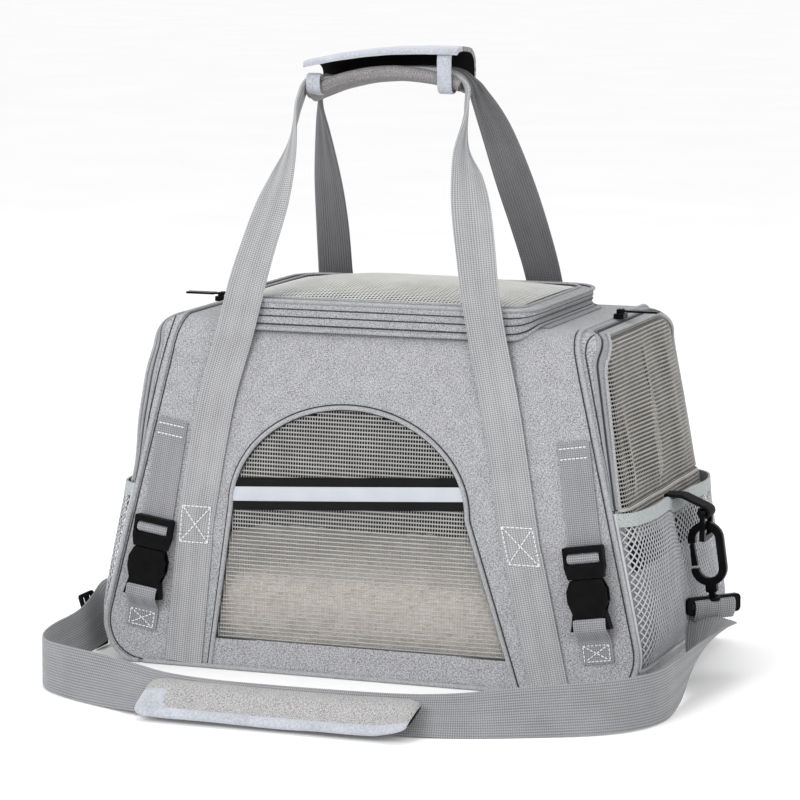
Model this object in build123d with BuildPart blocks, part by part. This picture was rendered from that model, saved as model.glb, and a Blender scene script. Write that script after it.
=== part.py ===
from build123d import *
import os
from math import atan2, cos, radians, sin, tan

# Soft-sided pet carrier bag. Millimetres, +Z up. X runs along the bag, the front panel faces -Y,
# and the origin is on the floor under the middle of the bag.

# ---- driving dimensions -------------------------------------------------------------------------
HALF_DEPTH = 120.0        # floor centre to the front panel, at the floor
DECK_Z = 272.0            # top surface of the bag, around the lid
FRONT_LEAN = 0.0687       # front and back panels lean in by this much per mm of height
PIPING_BASE = 225.0       # half length of the front panel, carried down to the floor
PIPING_SLOPE = 0.239      # the piped edges lean in by this much per mm of height
END_BASE = 227.0          # half length of the bag at its bulging ends, carried down to the floor
END_SLOPE = 0.1728
CORNER_R = 42.0           # lower corners of the front panel
SHOULDER_R = 22.0         # where the front and back panels turn into the deck
WALL = 4.0                # padded fabric
PANEL_TOP = 250.0         # front and back panels end here, the deck starts
PIPING = 3.0              # corded seam around the front and back panels
MESH = 1.5                # coated mesh
GAP = 0.4                 # between pieces that move past each other

WINDOW_BOTTOM = 25.0
WINDOW_SPRING = 129.0     # height where the arch starts
WINDOW_MIDDLE = -15.5     # the arch leans to the left, and its right side splays more
WINDOW_HALF = 94.5
WINDOW_FOOT_LEFT = -123.0
WINDOW_FOOT_RIGHT = 113.5
WINDOW_RISE = 78.0
BAND_LOW = 130.5          # webbing band across the window
BAND_HIGH = 155.5
BAND_TILT = 3.2           # degrees

DOOR_SILL = 145.0
DOOR_TOP = 264.0
DOOR_HALF = 94.0
DOOR_R = 34.0
DOOR_BORDER = 22.0
END_PANEL_TOP = 138.0

LID_HALF = 127.0
LID_FRONT = -104.5
LID_BACK = 78.0
LID_TOP = 287.0
LID_LOW = 264.0
LID_CROWN = 11.0
LID_SKIRT = 5.0
LID_BORDER = 12.0
LID_PLATE = 3.0           # thickness of the lid's border

POCKET_TOP = 124.0
HEM_TOP = 136.0
POCKET_FOOT = 24.0
POCKET_HALF = 100.0
POCKET_STANDOFF_TOP = 11.0
POCKET_STANDOFF_FOOT = 3.0

WEBBING = 2.0
HANDLE_WIDE = 30.0
HANDLE_PIVOT_Z = 131.0
GRIP_X = -19.0            # the hand grip sits a little left of the middle
GRIP_Z = 457.0
GRIP_LONG = 124.0

BUCKLE_U = 174.0          # buckle centre on the front panel
BUCKLE_V = 111.0
BUCKLE_TILT = 8.55
BUCKLE_WEBBING = 25.0

STRAP_WIDE = 38.0
STRAP_THICK = 1.8
FLOOR_CLEAR = 0.4

SIDES = (("left", -1), ("right", 1))
LEAN_ANGLE = atan2(FRONT_LEAN, 1.0)
FRONT = Plane(origin=(0, -HALF_DEPTH, 0), x_dir=(1, 0, 0), z_dir=(0, -cos(LEAN_ANGLE), sin(LEAN_ANGLE)))

os.makedirs("parts", exist_ok=True)


def save(piece, name):
    piece.part.label = name
    export_step(piece.part, f"parts/{name}.step")


# ---- the bag's outline --------------------------------------------------------------------------
def half_depth(z):
    return HALF_DEPTH - FRONT_LEAN * z


def piping_half(z):
    return PIPING_BASE - PIPING_SLOPE * z


def end_half(z):
    return END_BASE - END_SLOPE * z


def plan_outline(z, inset):
    """Outline of the bag seen from above at height z: the ends bulge past the piped edges."""
    bulge = end_half(z) - piping_half(z)
    run = 28 + 8 * z / DECK_Z
    deep = half_depth(z) - inset
    quarter = [
        (piping_half(z) - inset, deep),
        (piping_half(z) + 0.72 * bulge - inset, deep - 0.25 * run),
        (end_half(z) - inset, deep - run),
    ]
    right = quarter + [(x, -y) for x, y in reversed(quarter)]
    left = [(-x, -y) for x, y in right]
    return right + left


def body_volume(inset):
    """The whole bag as one closed form, shrunk by inset on every side."""
    low, high = -20.0, 300.0
    with BuildPart() as volume:
        for z in (low, high):
            with BuildSketch(Plane.XY.offset(z)):
                Polygon(*plan_outline(z, inset), align=None)
        loft(ruled=True)
        with BuildSketch(Plane.YZ) as section:
            base, top = half_depth(inset) - inset, half_depth(DECK_Z) - inset
            Polygon((-base, inset), (-top, DECK_Z - inset), (top, DECK_Z - inset), (base, inset), align=None)
            fillet(section.vertices().group_by(Axis.Y)[-1], SHOULDER_R - inset)
        extrude(amount=400, both=True, mode=Mode.INTERSECT)
        with BuildSketch(Plane.XZ) as front_view:
            base, top = end_half(inset) - inset, end_half(DECK_Z) - inset
            Polygon((-base, inset), (-top, DECK_Z - inset), (top, DECK_Z - inset), (base, inset), align=None)
            fillet(front_view.vertices().group_by(Axis.Y)[0], CORNER_R - inset)
            fillet(front_view.vertices().group_by(Axis.Y)[-1], 12 - inset)
        extrude(amount=300, both=True, mode=Mode.INTERSECT)
    return volume.part


outer = body_volume(0)
with BuildPart() as shell:
    add(outer)
    add(body_volume(WALL), mode=Mode.SUBTRACT)
with BuildPart() as mesh_shell:
    add(outer)
    add(body_volume(MESH), mode=Mode.SUBTRACT)

with BuildPart() as piped_prism:
    with BuildSketch(Plane.XZ):
        low, high = -20.0, 300.0
        Polygon(
            (-piping_half(low), low), (-piping_half(high), high),
            (piping_half(high), high), (piping_half(low), low), align=None,
        )
    extrude(amount=300, both=True)

with BuildPart() as between_panels:
    with BuildSketch(Plane.YZ):
        inside = WALL + 0.2
        Polygon(
            (-half_depth(-20) + inside, -20), (-half_depth(300) + inside, 300),
            (half_depth(300) - inside, 300), (half_depth(-20) - inside, -20), align=None,
        )
    extrude(amount=400, both=True)


# ---- front and back panels ----------------------------------------------------------------------
def panel_outline(inset):
    """Rounded trapezoid of the front panel, in its own flat sketch."""
    low = 0.3 + inset
    with BuildSketch() as outline:
        Polygon(
            (-piping_half(low) + inset, low), (-piping_half(PANEL_TOP) + inset, PANEL_TOP),
            (piping_half(PANEL_TOP) - inset, PANEL_TOP), (piping_half(low) - inset, low), align=None,
        )
        fillet(outline.vertices().group_by(Axis.Y)[0], CORNER_R - inset)
    return outline.sketch


def window_outline(grow, foot=WINDOW_BOTTOM):
    """Arched window, in its own flat sketch: unequal splayed sides under half an ellipse."""
    half = WINDOW_HALF + grow
    drop = (WINDOW_SPRING - foot) / (WINDOW_SPRING - WINDOW_BOTTOM)
    left = WINDOW_MIDDLE - half
    right = WINDOW_MIDDLE + half
    left_foot = left + drop * (WINDOW_FOOT_LEFT - WINDOW_MIDDLE + WINDOW_HALF)
    right_foot = right + drop * (WINDOW_FOOT_RIGHT - WINDOW_MIDDLE - WINDOW_HALF)
    with BuildSketch() as outline:
        with BuildLine():
            Polyline((left, WINDOW_SPRING), (left_foot, foot), (right_foot, foot), (right, WINDOW_SPRING))
            EllipticalCenterArc((WINDOW_MIDDLE, WINDOW_SPRING), half, WINDOW_RISE + grow, 0, arc_size=180)
        make_face()
    return outline.sketch


with BuildPart() as panel_blank:
    with BuildSketch(FRONT):
        add(panel_outline(PIPING))
    extrude(amount=-WALL)

with BuildPart() as front_panel:
    add(panel_blank.part)
    with BuildSketch(FRONT):
        add(window_outline(0))
    extrude(amount=-2 * WALL, mode=Mode.SUBTRACT)
save(front_panel, "front_panel")

with BuildPart() as back_panel:
    add(mirror(panel_blank.part, about=Plane.XZ, mode=Mode.PRIVATE))
save(back_panel, "back_panel")

with BuildPart() as front_piping:
    with BuildSketch(FRONT.offset(1)):
        add(panel_outline(0))
        add(panel_outline(PIPING), mode=Mode.SUBTRACT)
    extrude(amount=-WALL - 1)
save(front_piping, "front_piping")

with BuildPart() as back_piping:
    add(mirror(front_piping.part, about=Plane.XZ, mode=Mode.PRIVATE))
save(back_piping, "back_piping")

with BuildPart() as front_window_mesh:
    with BuildSketch(FRONT.offset(-1)):
        add(window_outline(0))
    extrude(amount=-MESH)
save(front_window_mesh, "front_window_mesh")

with BuildPart() as window_piping:
    with BuildSketch(FRONT):
        add(window_outline(PIPING, foot=4))
        add(window_outline(0, foot=0), mode=Mode.SUBTRACT)
    extrude(amount=1.6)
save(window_piping, "window_piping")


def window_strip(low, high, start, thick):
    """A band across the window, cut to the window's outline."""
    with BuildPart() as strip:
        with BuildSketch(FRONT.offset(start)):
            add(window_outline(-0.2))
            with Locations((WINDOW_MIDDLE, (low + high) / 2)):
                Rectangle(4 * WINDOW_HALF, high - low, rotation=BAND_TILT, mode=Mode.INTERSECT)
        extrude(amount=thick)
    return strip


window_band = window_strip(BAND_LOW, BAND_HIGH, -1, 1.6)
save(window_band, "window_band")
reflective_tape = window_strip(BAND_LOW + 7, BAND_LOW + 18, 0.6, 0.5)
save(reflective_tape, "reflective_tape")

# ---- bottom, base board and mat -----------------------------------------------------------------
BOTTOM_HALF = 168.0
with BuildPart() as bottom_panel:
    with BuildSketch():
        Rectangle(2 * BOTTOM_HALF, 2 * (HALF_DEPTH - WALL - 0.5))
    extrude(amount=WALL)
save(bottom_panel, "bottom_panel")

BOARD_THICK = 3.0
with BuildPart() as base_board:
    with BuildSketch(Plane.XY.offset(WALL)):
        RectangleRounded(2 * BOTTOM_HALF + 10, 2 * HALF_DEPTH - 16, 12)
    extrude(amount=BOARD_THICK)
save(base_board, "base_board")

MAT_LONG, MAT_DEEP, MAT_TOP = 392.0, 216.0, 74.0
with BuildPart() as fleece_mat:
    with BuildSketch(Plane.XY.offset(WALL + BOARD_THICK)):
        RectangleRounded(2 * BOTTOM_HALF - 2, MAT_DEEP, 20)
    with BuildSketch(Plane.XY.offset(42)):
        RectangleRounded(MAT_LONG, MAT_DEEP, 24)
    with BuildSketch(Plane.XY.offset(MAT_TOP)):
        RectangleRounded(MAT_LONG - 16, MAT_DEEP - 12, 24)
    loft(ruled=True)
save(fleece_mat, "fleece_mat")

# ---- deck around the lid ------------------------------------------------------------------------
DECK_HOLE_HALF = 118.0
DECK_HOLE_FRONT = -96.0
DECK_HOLE_BACK = 70.0
with BuildPart() as top_deck:
    add(shell.part)
    with BuildSketch(Plane.XY.offset(PANEL_TOP)):
        Rectangle(800, 600)
    extrude(amount=100, mode=Mode.INTERSECT)
    add(piped_prism.part, mode=Mode.INTERSECT)
    with BuildSketch(Plane.XY.offset(PANEL_TOP + 8)):
        with Locations((0, (DECK_HOLE_FRONT + DECK_HOLE_BACK) / 2)):
            RectangleRounded(2 * DECK_HOLE_HALF, DECK_HOLE_BACK - DECK_HOLE_FRONT, 24)
    extrude(amount=60, mode=Mode.SUBTRACT)
save(top_deck, "top_deck")


# ---- ends: fixed lower panel, door surround, door -----------------------------------------------
def half_space(side):
    """A block that covers everything on one side of the bag."""
    with BuildPart() as block:
        with Locations((side * 300, 0, 150)):
            Box(400, 600, 600)
    return block.part


def door_prism(shrink, sill):
    with BuildPart() as prism:
        with BuildSketch(Plane.YZ) as arch:
            half = DOOR_HALF - shrink
            Polygon((-half, sill), (-half, DOOR_TOP - shrink), (half, DOOR_TOP - shrink), (half, sill), align=None)
            fillet(arch.vertices().group_by(Axis.Y)[-1], DOOR_R - shrink / 2)
        extrude(amount=400, both=True)
    return prism.part


for name, side in SIDES:
    one_end = half_space(side)

    with BuildPart() as end_panel:
        add(shell.part)
        with Locations((side * (BOTTOM_HALF + 0.2 + 100), 0, END_PANEL_TOP - 100)):
            Box(200, 600, 200, mode=Mode.INTERSECT)
        add(between_panels.part, mode=Mode.INTERSECT)
    save(end_panel, f"{name}_end_panel")

    with BuildPart() as door_surround:
        add(shell.part)
        add(one_end, mode=Mode.INTERSECT)
        with Locations((0, 0, END_PANEL_TOP + 0.2 + 100)):
            Box(800, 600, 200, mode=Mode.INTERSECT)
        add(between_panels.part, mode=Mode.INTERSECT)
        add(piped_prism.part, mode=Mode.SUBTRACT)
        add(door_prism(0, 100), mode=Mode.SUBTRACT)
    save(door_surround, f"{name}_door_surround")

    with BuildPart() as door_frame:
        add(shell.part)
        add(one_end, mode=Mode.INTERSECT)
        add(door_prism(1.0, DOOR_SILL), mode=Mode.INTERSECT)
        add(door_prism(DOOR_BORDER, DOOR_SILL + 8), mode=Mode.SUBTRACT)
    save(door_frame, f"{name}_door_frame")

    with BuildPart() as door_mesh:
        add(mesh_shell.part)
        add(one_end, mode=Mode.INTERSECT)
        add(door_prism(DOOR_BORDER, DOOR_SILL + 8), mode=Mode.INTERSECT)
    save(door_mesh, f"{name}_door_mesh")


# ---- pockets on the ends ------------------------------------------------------------------------
def pocket_profile(side, low, high, shrink_in, shrink_out):
    """Cross-section of the pocket between the end panel and its net, drawn in the XZ plane."""
    def outer_x(z):
        share = (z - POCKET_FOOT) / (HEM_TOP - POCKET_FOOT)
        stand_off = POCKET_STANDOFF_FOOT + share * (POCKET_STANDOFF_TOP - POCKET_STANDOFF_FOOT)
        return end_half(z) + stand_off - shrink_out

    Polygon(
        (side * (end_half(low) + shrink_in), low), (side * outer_x(low), low),
        (side * outer_x(high), high), (side * (end_half(high) + shrink_in), high), align=None,
    )


for name, side in SIDES:
    with BuildPart() as pocket_net:
        with BuildSketch(Plane.XZ):
            pocket_profile(side, POCKET_FOOT, POCKET_TOP, 0.2, 0)
        extrude(amount=POCKET_HALF, both=True)
        with BuildSketch(Plane.XZ):
            pocket_profile(side, POCKET_FOOT + 1.5, POCKET_TOP + 5, -5, MESH)
        extrude(amount=POCKET_HALF - 1.5, both=True, mode=Mode.SUBTRACT)
    save(pocket_net, f"{name}_pocket_net")

    with BuildPart() as pocket_hem:
        with BuildSketch(Plane.XZ):
            pocket_profile(side, POCKET_TOP + 0.1, HEM_TOP, 0.2, -0.8)
        extrude(amount=POCKET_HALF, both=True)
        with BuildSketch(Plane.XZ):
            pocket_profile(side, POCKET_TOP - 5, HEM_TOP + 5, -5, MESH)
        extrude(amount=POCKET_HALF - 1.5, both=True, mode=Mode.SUBTRACT)
    save(pocket_hem, f"{name}_pocket_hem")

# ---- D-rings on their webbing tabs --------------------------------------------------------------
RING_PIVOT = (236.0, 126.0)      # x, z of the ring's top bar on the right end
RING_WIRE = 4.0
RING_LONG = 24.0
RING_HALF = 13.0
TAB_HALF = 8.4

for name, side in SIDES:
    pivot_x, pivot_z = RING_PIVOT
    with BuildPart() as ring_tab:
        with BuildSketch(Plane.XZ):
            with BuildLine():
                FilletPolyline(
                    (side * 205, HEM_TOP + 1.8), (side * 218, HEM_TOP + 1.8),
                    (side * pivot_x, pivot_z + 4.2), radius=8,
                )
                offset(amount=1.2, side=Side.BOTH)
            make_face()
            with Locations((side * pivot_x, pivot_z)):
                Circle(5)
                Circle(3.3, mode=Mode.SUBTRACT)
        extrude(amount=TAB_HALF, both=True)
    save(ring_tab, f"{name}_ring_tab")

    ring_plane = Plane(origin=(side * pivot_x, 0, pivot_z), x_dir=(0, 1, 0), z_dir=(1, 0, 0))
    with BuildPart() as d_ring:
        with BuildSketch(ring_plane.offset(-RING_WIRE / 2)) as ring_face:
            with Locations((0, -(RING_LONG - RING_WIRE) / 2)):
                RectangleRounded(2 * RING_HALF, RING_LONG, 2)
                RectangleRounded(2 * (RING_HALF - RING_WIRE), RING_LONG - 2 * RING_WIRE, 1.5, mode=Mode.SUBTRACT)
        extrude(amount=RING_WIRE)
    save(d_ring, f"{name}_d_ring")

# ---- handles ------------------------------------------------------------------------------------
# Each handle is one length of webbing: sewn flat to the panel up to the pivot height, then free.
FRONT_BASE_TOP = {"left": -139.6, "right": 119.5}
BACK_BASE_TOP = {"left": -112.0, "right": 74.0}
FRONT_FOOT = {"left": -150.0, "right": 150.0}
BACK_FOOT = {"left": -128.0, "right": 98.0}
SEWN_TOP = HANDLE_PIVOT_Z - 0.5


def sewn_straps(feet, tops):
    with BuildPart() as pieces:
        for name, side in SIDES:
            with BuildSketch(FRONT):
                half = HANDLE_WIDE / 2
                foot, top = feet[name], tops[name]
                Polygon((foot - half, 4), (foot + half, 4), (top + half, SEWN_TOP), (top - half, SEWN_TOP), align=None)
            extrude(amount=WEBBING)
    return pieces


front_handle_base = sewn_straps(FRONT_FOOT, FRONT_BASE_TOP)
save(front_handle_base, "front_handle_base")
back_base = sewn_straps(BACK_FOOT, BACK_BASE_TOP)
with BuildPart() as back_handle_base:
    add(mirror(back_base.part, about=Plane.XZ, mode=Mode.PRIVATE))
save(back_handle_base, "back_handle_base")


def ribbon(stations, thick, level_foot=False):
    """Webbing lofted through stations of (point, width direction, width)."""
    points = [Vector(*station[0]) for station in stations]
    with BuildPart() as piece:
        for index, (point, across, wide) in enumerate(stations):
            ahead = points[min(index + 1, len(points) - 1)]
            behind = points[max(index - 1, 0)]
            tangent = (ahead - behind).normalized()
            if level_foot and index == 0:
                tangent = Vector(0, 0, 1)
            across = Vector(*across)
            across = (across - tangent * across.dot(tangent)).normalized()
            with BuildSketch(Plane(origin=point, x_dir=across, z_dir=tangent)):
                Rectangle(wide, thick)
        loft(ruled=True)
    return piece.part


# y, z of the free straps, then their x on the left and on the right, and how far they have twisted
FRONT_PATH = [
    (-114.6, 131, -139.6, 119.5, 0, 30), (-109, 205, -126, 107, 0, 30), (-107.4, 262, -110, 95, 0, 30),
    (-109.5, 300, -99, 89, 0, 30), (-105, 330, -91, 84, 6, 30), (-95, 360, -84, 77, 14, 30),
    (-80, 385, -81, 69, 28, 29), (-62, 407, -81, 60, 46, 26), (-36, 434, -86, 54, 70, 20),
    (-17, 457, -86, 48, 90, 15),
]
BACK_PATH = [
    (114.6, 131, -112, 74, 0, 30), (109, 205, -110, 74, 0, 30), (105.6, 262, -108, 74, 0, 30),
    (88, 294, -103, 75, 4, 30), (66, 333, -97, 71, 12, 30), (44, 372, -92, 65, 26, 29),
    (24, 411, -88, 57, 48, 25), (8, 438, -85, 50, 70, 19), (1.5, 457, -84, 46, 90, 15),
]


def handle(path, grip_y):
    """Both free straps and the folded webbing that joins them inside the grip."""
    with BuildPart() as piece:
        for column, side in ((2, -1), (3, 1)):
            stations = []
            for station in path:
                twist = radians(station[4])
                across = (cos(twist), side * sin(twist), 0)
                stations.append(((station[column], station[0], station[1]), across, station[5]))
            add(ribbon(stations, WEBBING + 0.4, level_foot=True))
        left, right = path[-1][2], path[-1][3]
        with Locations(((left + right) / 2, grip_y, GRIP_Z)):
            Box(right - left + 2, 15, 4)
    return piece


front_handle = handle(FRONT_PATH, -17)
save(front_handle, "front_handle")
back_handle = handle(BACK_PATH, 1.5)
save(back_handle, "back_handle")

# The grip is an open-fronted padded wrap that rides on the back handle.
WRAP_FRONT, WRAP_BACK = -34.0, 14.0
WRAP_LOW, WRAP_HIGH = 446.0, 475.0
with BuildPart() as handle_wrap:
    with BuildSketch(Plane.YZ.offset(GRIP_X - GRIP_LONG / 2)):
        wrap_mid = ((WRAP_FRONT + WRAP_BACK) / 2, (WRAP_LOW + WRAP_HIGH) / 2)
        with Locations(wrap_mid):
            RectangleRounded(WRAP_BACK - WRAP_FRONT, WRAP_HIGH - WRAP_LOW, 8)
        with Locations((wrap_mid[0] - WALL, wrap_mid[1])):
            Rectangle(WRAP_BACK - WRAP_FRONT, WRAP_HIGH - WRAP_LOW - 2 * WALL, mode=Mode.SUBTRACT)
    extrude(amount=GRIP_LONG)
save(handle_wrap, "handle_wrap")

with BuildPart() as grip_loops:
    for x in (GRIP_X - 54, GRIP_X + 50):
        with BuildSketch(Plane.YZ.offset(x - 5)):
            with Locations((-22.8, GRIP_Z)):
                Rectangle(30, 9)
            with Locations((-17, GRIP_Z)):
                Rectangle(15, 4, mode=Mode.SUBTRACT)
            with Locations((-37, GRIP_Z + 1.5)):
                Rectangle(2, 15)
            with Locations((-30.4, GRIP_Z)):
                Rectangle(10.5, 4.8, mode=Mode.SUBTRACT)
        extrude(amount=10)
save(grip_loops, "grip_loops")

# ---- buckles on the front panel -----------------------------------------------------------------
UNDER_BUCKLE = 2.9


def buckle_plane(side, lift):
    """Plane on the front panel at the buckle, with +Y running up the buckle's strap."""
    tilt = radians(side * BUCKLE_TILT)
    spot = FRONT.from_local_coords((side * BUCKLE_U, BUCKLE_V, lift))
    across = FRONT.x_dir * cos(tilt) + FRONT.y_dir * sin(tilt)
    return Plane(origin=spot, x_dir=across, z_dir=FRONT.z_dir)


for name, side in SIDES:
    with BuildPart() as buckle_straps:
        with BuildSketch(buckle_plane(side, 0)):
            with Locations((0, 36), (0, -70)):
                Rectangle(BUCKLE_WEBBING, 92)
            with Locations((0, -101)):
                Rectangle(40, 34, mode=Mode.SUBTRACT)
            with Locations((0, -30)):
                Rectangle(40, 38, mode=Mode.SUBTRACT)
        extrude(amount=WEBBING)
    save(buckle_straps, f"{name}_buckle_straps")

    with BuildPart() as buckle_socket:
        for lift, thick in ((UNDER_BUCKLE, 1.5), (UNDER_BUCKLE + 6.6, 1.7)):
            with BuildSketch(buckle_plane(side, lift)) as plate:
                with BuildLine():
                    Polyline((-12, -20), (12, -20), (15.6, -28), (15.6, -36), (12.6, -45),
                             (-12.6, -45), (-15.6, -36), (-15.6, -28), (-12, -20))
                make_face()
            extrude(amount=thick)
        with BuildSketch(buckle_plane(side, UNDER_BUCKLE)):
            Polygon((-12.6, -44.5), (12.6, -44.5), (15.5, -58), (-15.5, -58), align=None)
            with Locations((0, -53)):
                Rectangle(25.4, 3.6, mode=Mode.SUBTRACT)
        extrude(amount=8.3)
    save(buckle_socket, f"{name}_buckle_socket")

    with BuildPart() as buckle_plug:
        with BuildSketch(buckle_plane(side, UNDER_BUCKLE)):
            with Locations((0, -3.5)):
                RectangleRounded(31, 17, 1.5)
            with Locations((0, -4)):
                Rectangle(25.6, 8.6, mode=Mode.SUBTRACT)
            Polygon((-15.5, -11), (15.5, -11), (13.5, -19.3), (-13.5, -19.3), align=None)
        extrude(amount=7.4)
        with BuildSketch(buckle_plane(side, UNDER_BUCKLE + 2.1)):
            with Locations((0, -31.5)):
                Rectangle(7, 25)
        extrude(amount=3.6)
    save(buckle_plug, f"{name}_buckle_plug")

    for arm_name, arm in (("inner", -side), ("outer", side)):
        with BuildPart() as buckle_arm:
            with BuildSketch(buckle_plane(side, UNDER_BUCKLE + 2.1)):
                Polygon(
                    (arm * 8.6, -19.8), (arm * 12.4, -19.8), (arm * 12.4, -33), (arm * 15.4, -37),
                    (arm * 11.5, -43.5), (arm * 8.6, -43.5), align=None,
                )
            extrude(amount=3.6)
        save(buckle_arm, f"{name}_buckle_{arm_name}_arm")

# ---- lid ----------------------------------------------------------------------------------------
with BuildPart() as lid_frame:
    lid_mid = (LID_FRONT + LID_BACK) / 2
    lid_deep = LID_BACK - LID_FRONT
    with BuildSketch(Plane.XY.offset(LID_LOW)):
        with Locations((0, lid_mid)):
            RectangleRounded(2 * LID_HALF, lid_deep, 26)
    extrude(amount=LID_TOP - LID_LOW)
    with BuildSketch(Plane.XY.offset(LID_LOW - 10)):
        with Locations((0, lid_mid)):
            RectangleRounded(2 * (LID_HALF - LID_BORDER), lid_deep - 2 * LID_BORDER, 16)
    extrude(amount=60, mode=Mode.SUBTRACT)
    with BuildSketch(Plane.XY.offset(LID_LOW - 10)):
        with Locations((0, lid_mid)):
            RectangleRounded(2 * (LID_HALF - LID_SKIRT), lid_deep - 2 * LID_SKIRT, 22)
    extrude(amount=LID_TOP - LID_PLATE - LID_LOW + 10, mode=Mode.SUBTRACT)
    add(body_volume(-GAP), mode=Mode.SUBTRACT)
save(lid_frame, "lid_frame")

with BuildPart() as lid_mesh:
    for drop in (0, MESH):
        with BuildSketch(Plane.XY.offset(LID_TOP - LID_PLATE)):
            with Locations((0, lid_mid)):
                RectangleRounded(
                    2 * (LID_HALF - LID_BORDER) - 2 * drop, lid_deep - 2 * LID_BORDER - 2 * drop, 16 - drop,
                )
        with BuildSketch(Plane.XY.offset(LID_TOP + LID_CROWN - drop)):
            with Locations((0, lid_mid)):
                RectangleRounded(130 - 2 * drop, 90 - 2 * drop, 16 - drop)
        loft(ruled=True, mode=Mode.ADD if drop == 0 else Mode.SUBTRACT)
save(lid_mesh, "lid_mesh")

# ---- zip sliders and their pull tabs ------------------------------------------------------------
SLIDER = (8.0, 12.0, 4.0)
DOOR_PULL_LONG = 30.0
LID_PULL_LONG = 24.0             # short enough to pass the left door's slider


def slider(x, y, z):
    """A slider with two ears; the pull hangs on a pin between them, in the plane y = 0 of the slider."""
    wide, long, high = SLIDER
    with BuildPart() as piece:
        with Locations((x, y, z + high / 2)):
            Box(wide, long, high)
        with Locations((x, y - 2.6, z + high + 1.6), (x, y + 2.6, z + high + 1.6)):
            Box(5, 1.2, 3.2)
        with Locations(Location((x, y, z + high + 1.8), (90, 0, 0))):
            Cylinder(0.7, 6.4)
    return piece


def pull(x, y, z, heading, long):
    """A flat pull tab with an eye around the slider's pin; heading is +1 or -1 along X."""
    level = z + SLIDER[2] + 1.8
    with BuildPart() as piece:
        with BuildSketch(Plane.XZ.offset(-y)):
            with Locations((x, level)):
                Circle(1.5)
                Circle(0.78, mode=Mode.SUBTRACT)
        extrude(amount=1.6, both=True)
        with Locations((x + heading * (1.2 + 2.5), y, level)):
            Box(5, 3.2, 1.4)
        with Locations((x + heading * (6 + (long - 6) / 2), y, level)):
            Box(long - 6, 8, 1.6)
    return piece


SLIDER_Z = DECK_Z + 0.3
DOOR_SLIDER_X = 166.0
for name, side in SIDES:
    save(slider(side * DOOR_SLIDER_X, 0, SLIDER_Z), f"{name}_door_slider")
    save(pull(side * DOOR_SLIDER_X, 0, SLIDER_Z, side, DOOR_PULL_LONG), f"{name}_door_pull")
LID_SLIDER_X, LID_SLIDER_Y = -133.0, 50.0
save(slider(LID_SLIDER_X, LID_SLIDER_Y, SLIDER_Z), "lid_slider")
save(pull(LID_SLIDER_X, LID_SLIDER_Y, SLIDER_Z, -1, LID_PULL_LONG), "lid_pull")

# ---- snap hooks of the shoulder strap -----------------------------------------------------------
HOOK_TOP = (234.0, 118.0)        # x, z where the hook's bend is centred and highest
HOOK_LEAN = 8.0                  # the hook hangs with its foot away from the bag
HOOK_HALF = 14.0
HOOK_LONG = 50.0
HOOK_WIRE = 6.0
LOOP_TURN = 48.0                 # the strap loop is turned about the swivel


def hook_plane(side, depth):
    """Plane of the hook: +Y runs up the hook and +X away from the bag, on either end."""
    lean = radians(HOOK_LEAN)
    top = (side * HOOK_TOP[0], -depth, HOOK_TOP[1])
    return Plane(origin=top, x_dir=(side * cos(lean), 0, sin(lean)), z_dir=(0, -side, 0))


for name, side in SIDES:
    with BuildPart() as snap_hook:
        with BuildSketch(hook_plane(side, 0)):
            with Locations((0, -HOOK_LONG / 2)):
                SlotOverall(HOOK_LONG, 2 * HOOK_HALF, rotation=90)
                SlotOverall(HOOK_LONG - 2 * HOOK_WIRE, 2 * (HOOK_HALF - HOOK_WIRE), rotation=90, mode=Mode.SUBTRACT)
            with Locations((-HOOK_HALF + HOOK_WIRE / 2, -26)):
                Rectangle(HOOK_WIRE + 2, 20, mode=Mode.SUBTRACT)
            with Locations((0, -HOOK_LONG - 2)):
                Rectangle(9, 6)
        extrude(amount=HOOK_WIRE / 2, both=True)
        with BuildSketch(hook_plane(side, 0)):
            with Locations((0, -HOOK_LONG - 6.5)):
                Rectangle(5, 6)
        extrude(amount=2.5, both=True)
    save(snap_hook, f"{name}_snap_hook")

    with BuildPart() as hook_gate:
        with BuildSketch(hook_plane(side, 0)):
            Polygon((-13.4, -33.8), (-8.6, -33.8), (-9.6, -16.6), (-13, -16.6), align=None)
        extrude(amount=2, both=True)
    save(hook_gate, f"{name}_hook_gate")

LOOP_WIRE = 4.0
LOOP_HALF = 24.0
LOOP_DROP = 14.0


def loop_centre(side):
    """Middle of the eye that turns on the hook's shank."""
    below = HOOK_LONG + 10
    lean = radians(HOOK_LEAN)
    return (side * (HOOK_TOP[0] + below * sin(lean)), 0, HOOK_TOP[1] - below * cos(lean))


with BuildPart() as strap_end_loops:
    for name, side in SIDES:
        turn = radians(LOOP_TURN)
        along = (side * cos(turn), sin(turn), 0)
        facing = Vector(*along).cross(Vector(0, 0, 1))
        x, y, z = loop_centre(side)
        loop_plane = Plane(origin=(x, y, z), x_dir=along, z_dir=facing)
        with BuildSketch(loop_plane):
            with Locations((0, -LOOP_DROP / 2 + LOOP_WIRE / 2)):
                RectangleRounded(2 * LOOP_HALF, LOOP_DROP, 3.5)
                Rectangle(2 * (LOOP_HALF - LOOP_WIRE), LOOP_DROP - 2 * LOOP_WIRE, mode=Mode.SUBTRACT)
        extrude(amount=LOOP_WIRE / 2, both=True)
        with Locations((x, y, z)):
            Cylinder(5.5, 3.2)
            Cylinder(3.9, 12, mode=Mode.SUBTRACT)
save(strap_end_loops, "strap_end_loops")

# ---- shoulder strap -----------------------------------------------------------------------------
# Flat webbing: it hangs from the right hook, stands on edge along the floor in front of the bag
# and rises to the left hook.
STAND = FLOOR_CLEAR + STRAP_WIDE / 2
FLOOR_ROUTE = [
    (248, -128), (246, -176), (222, -212), (172, -231), (108, -245), (10, -252),
    (-100, -253), (-150, -240), (-190, -240), (-216, -222), (-228, -180), (-234, -124),
]


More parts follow.
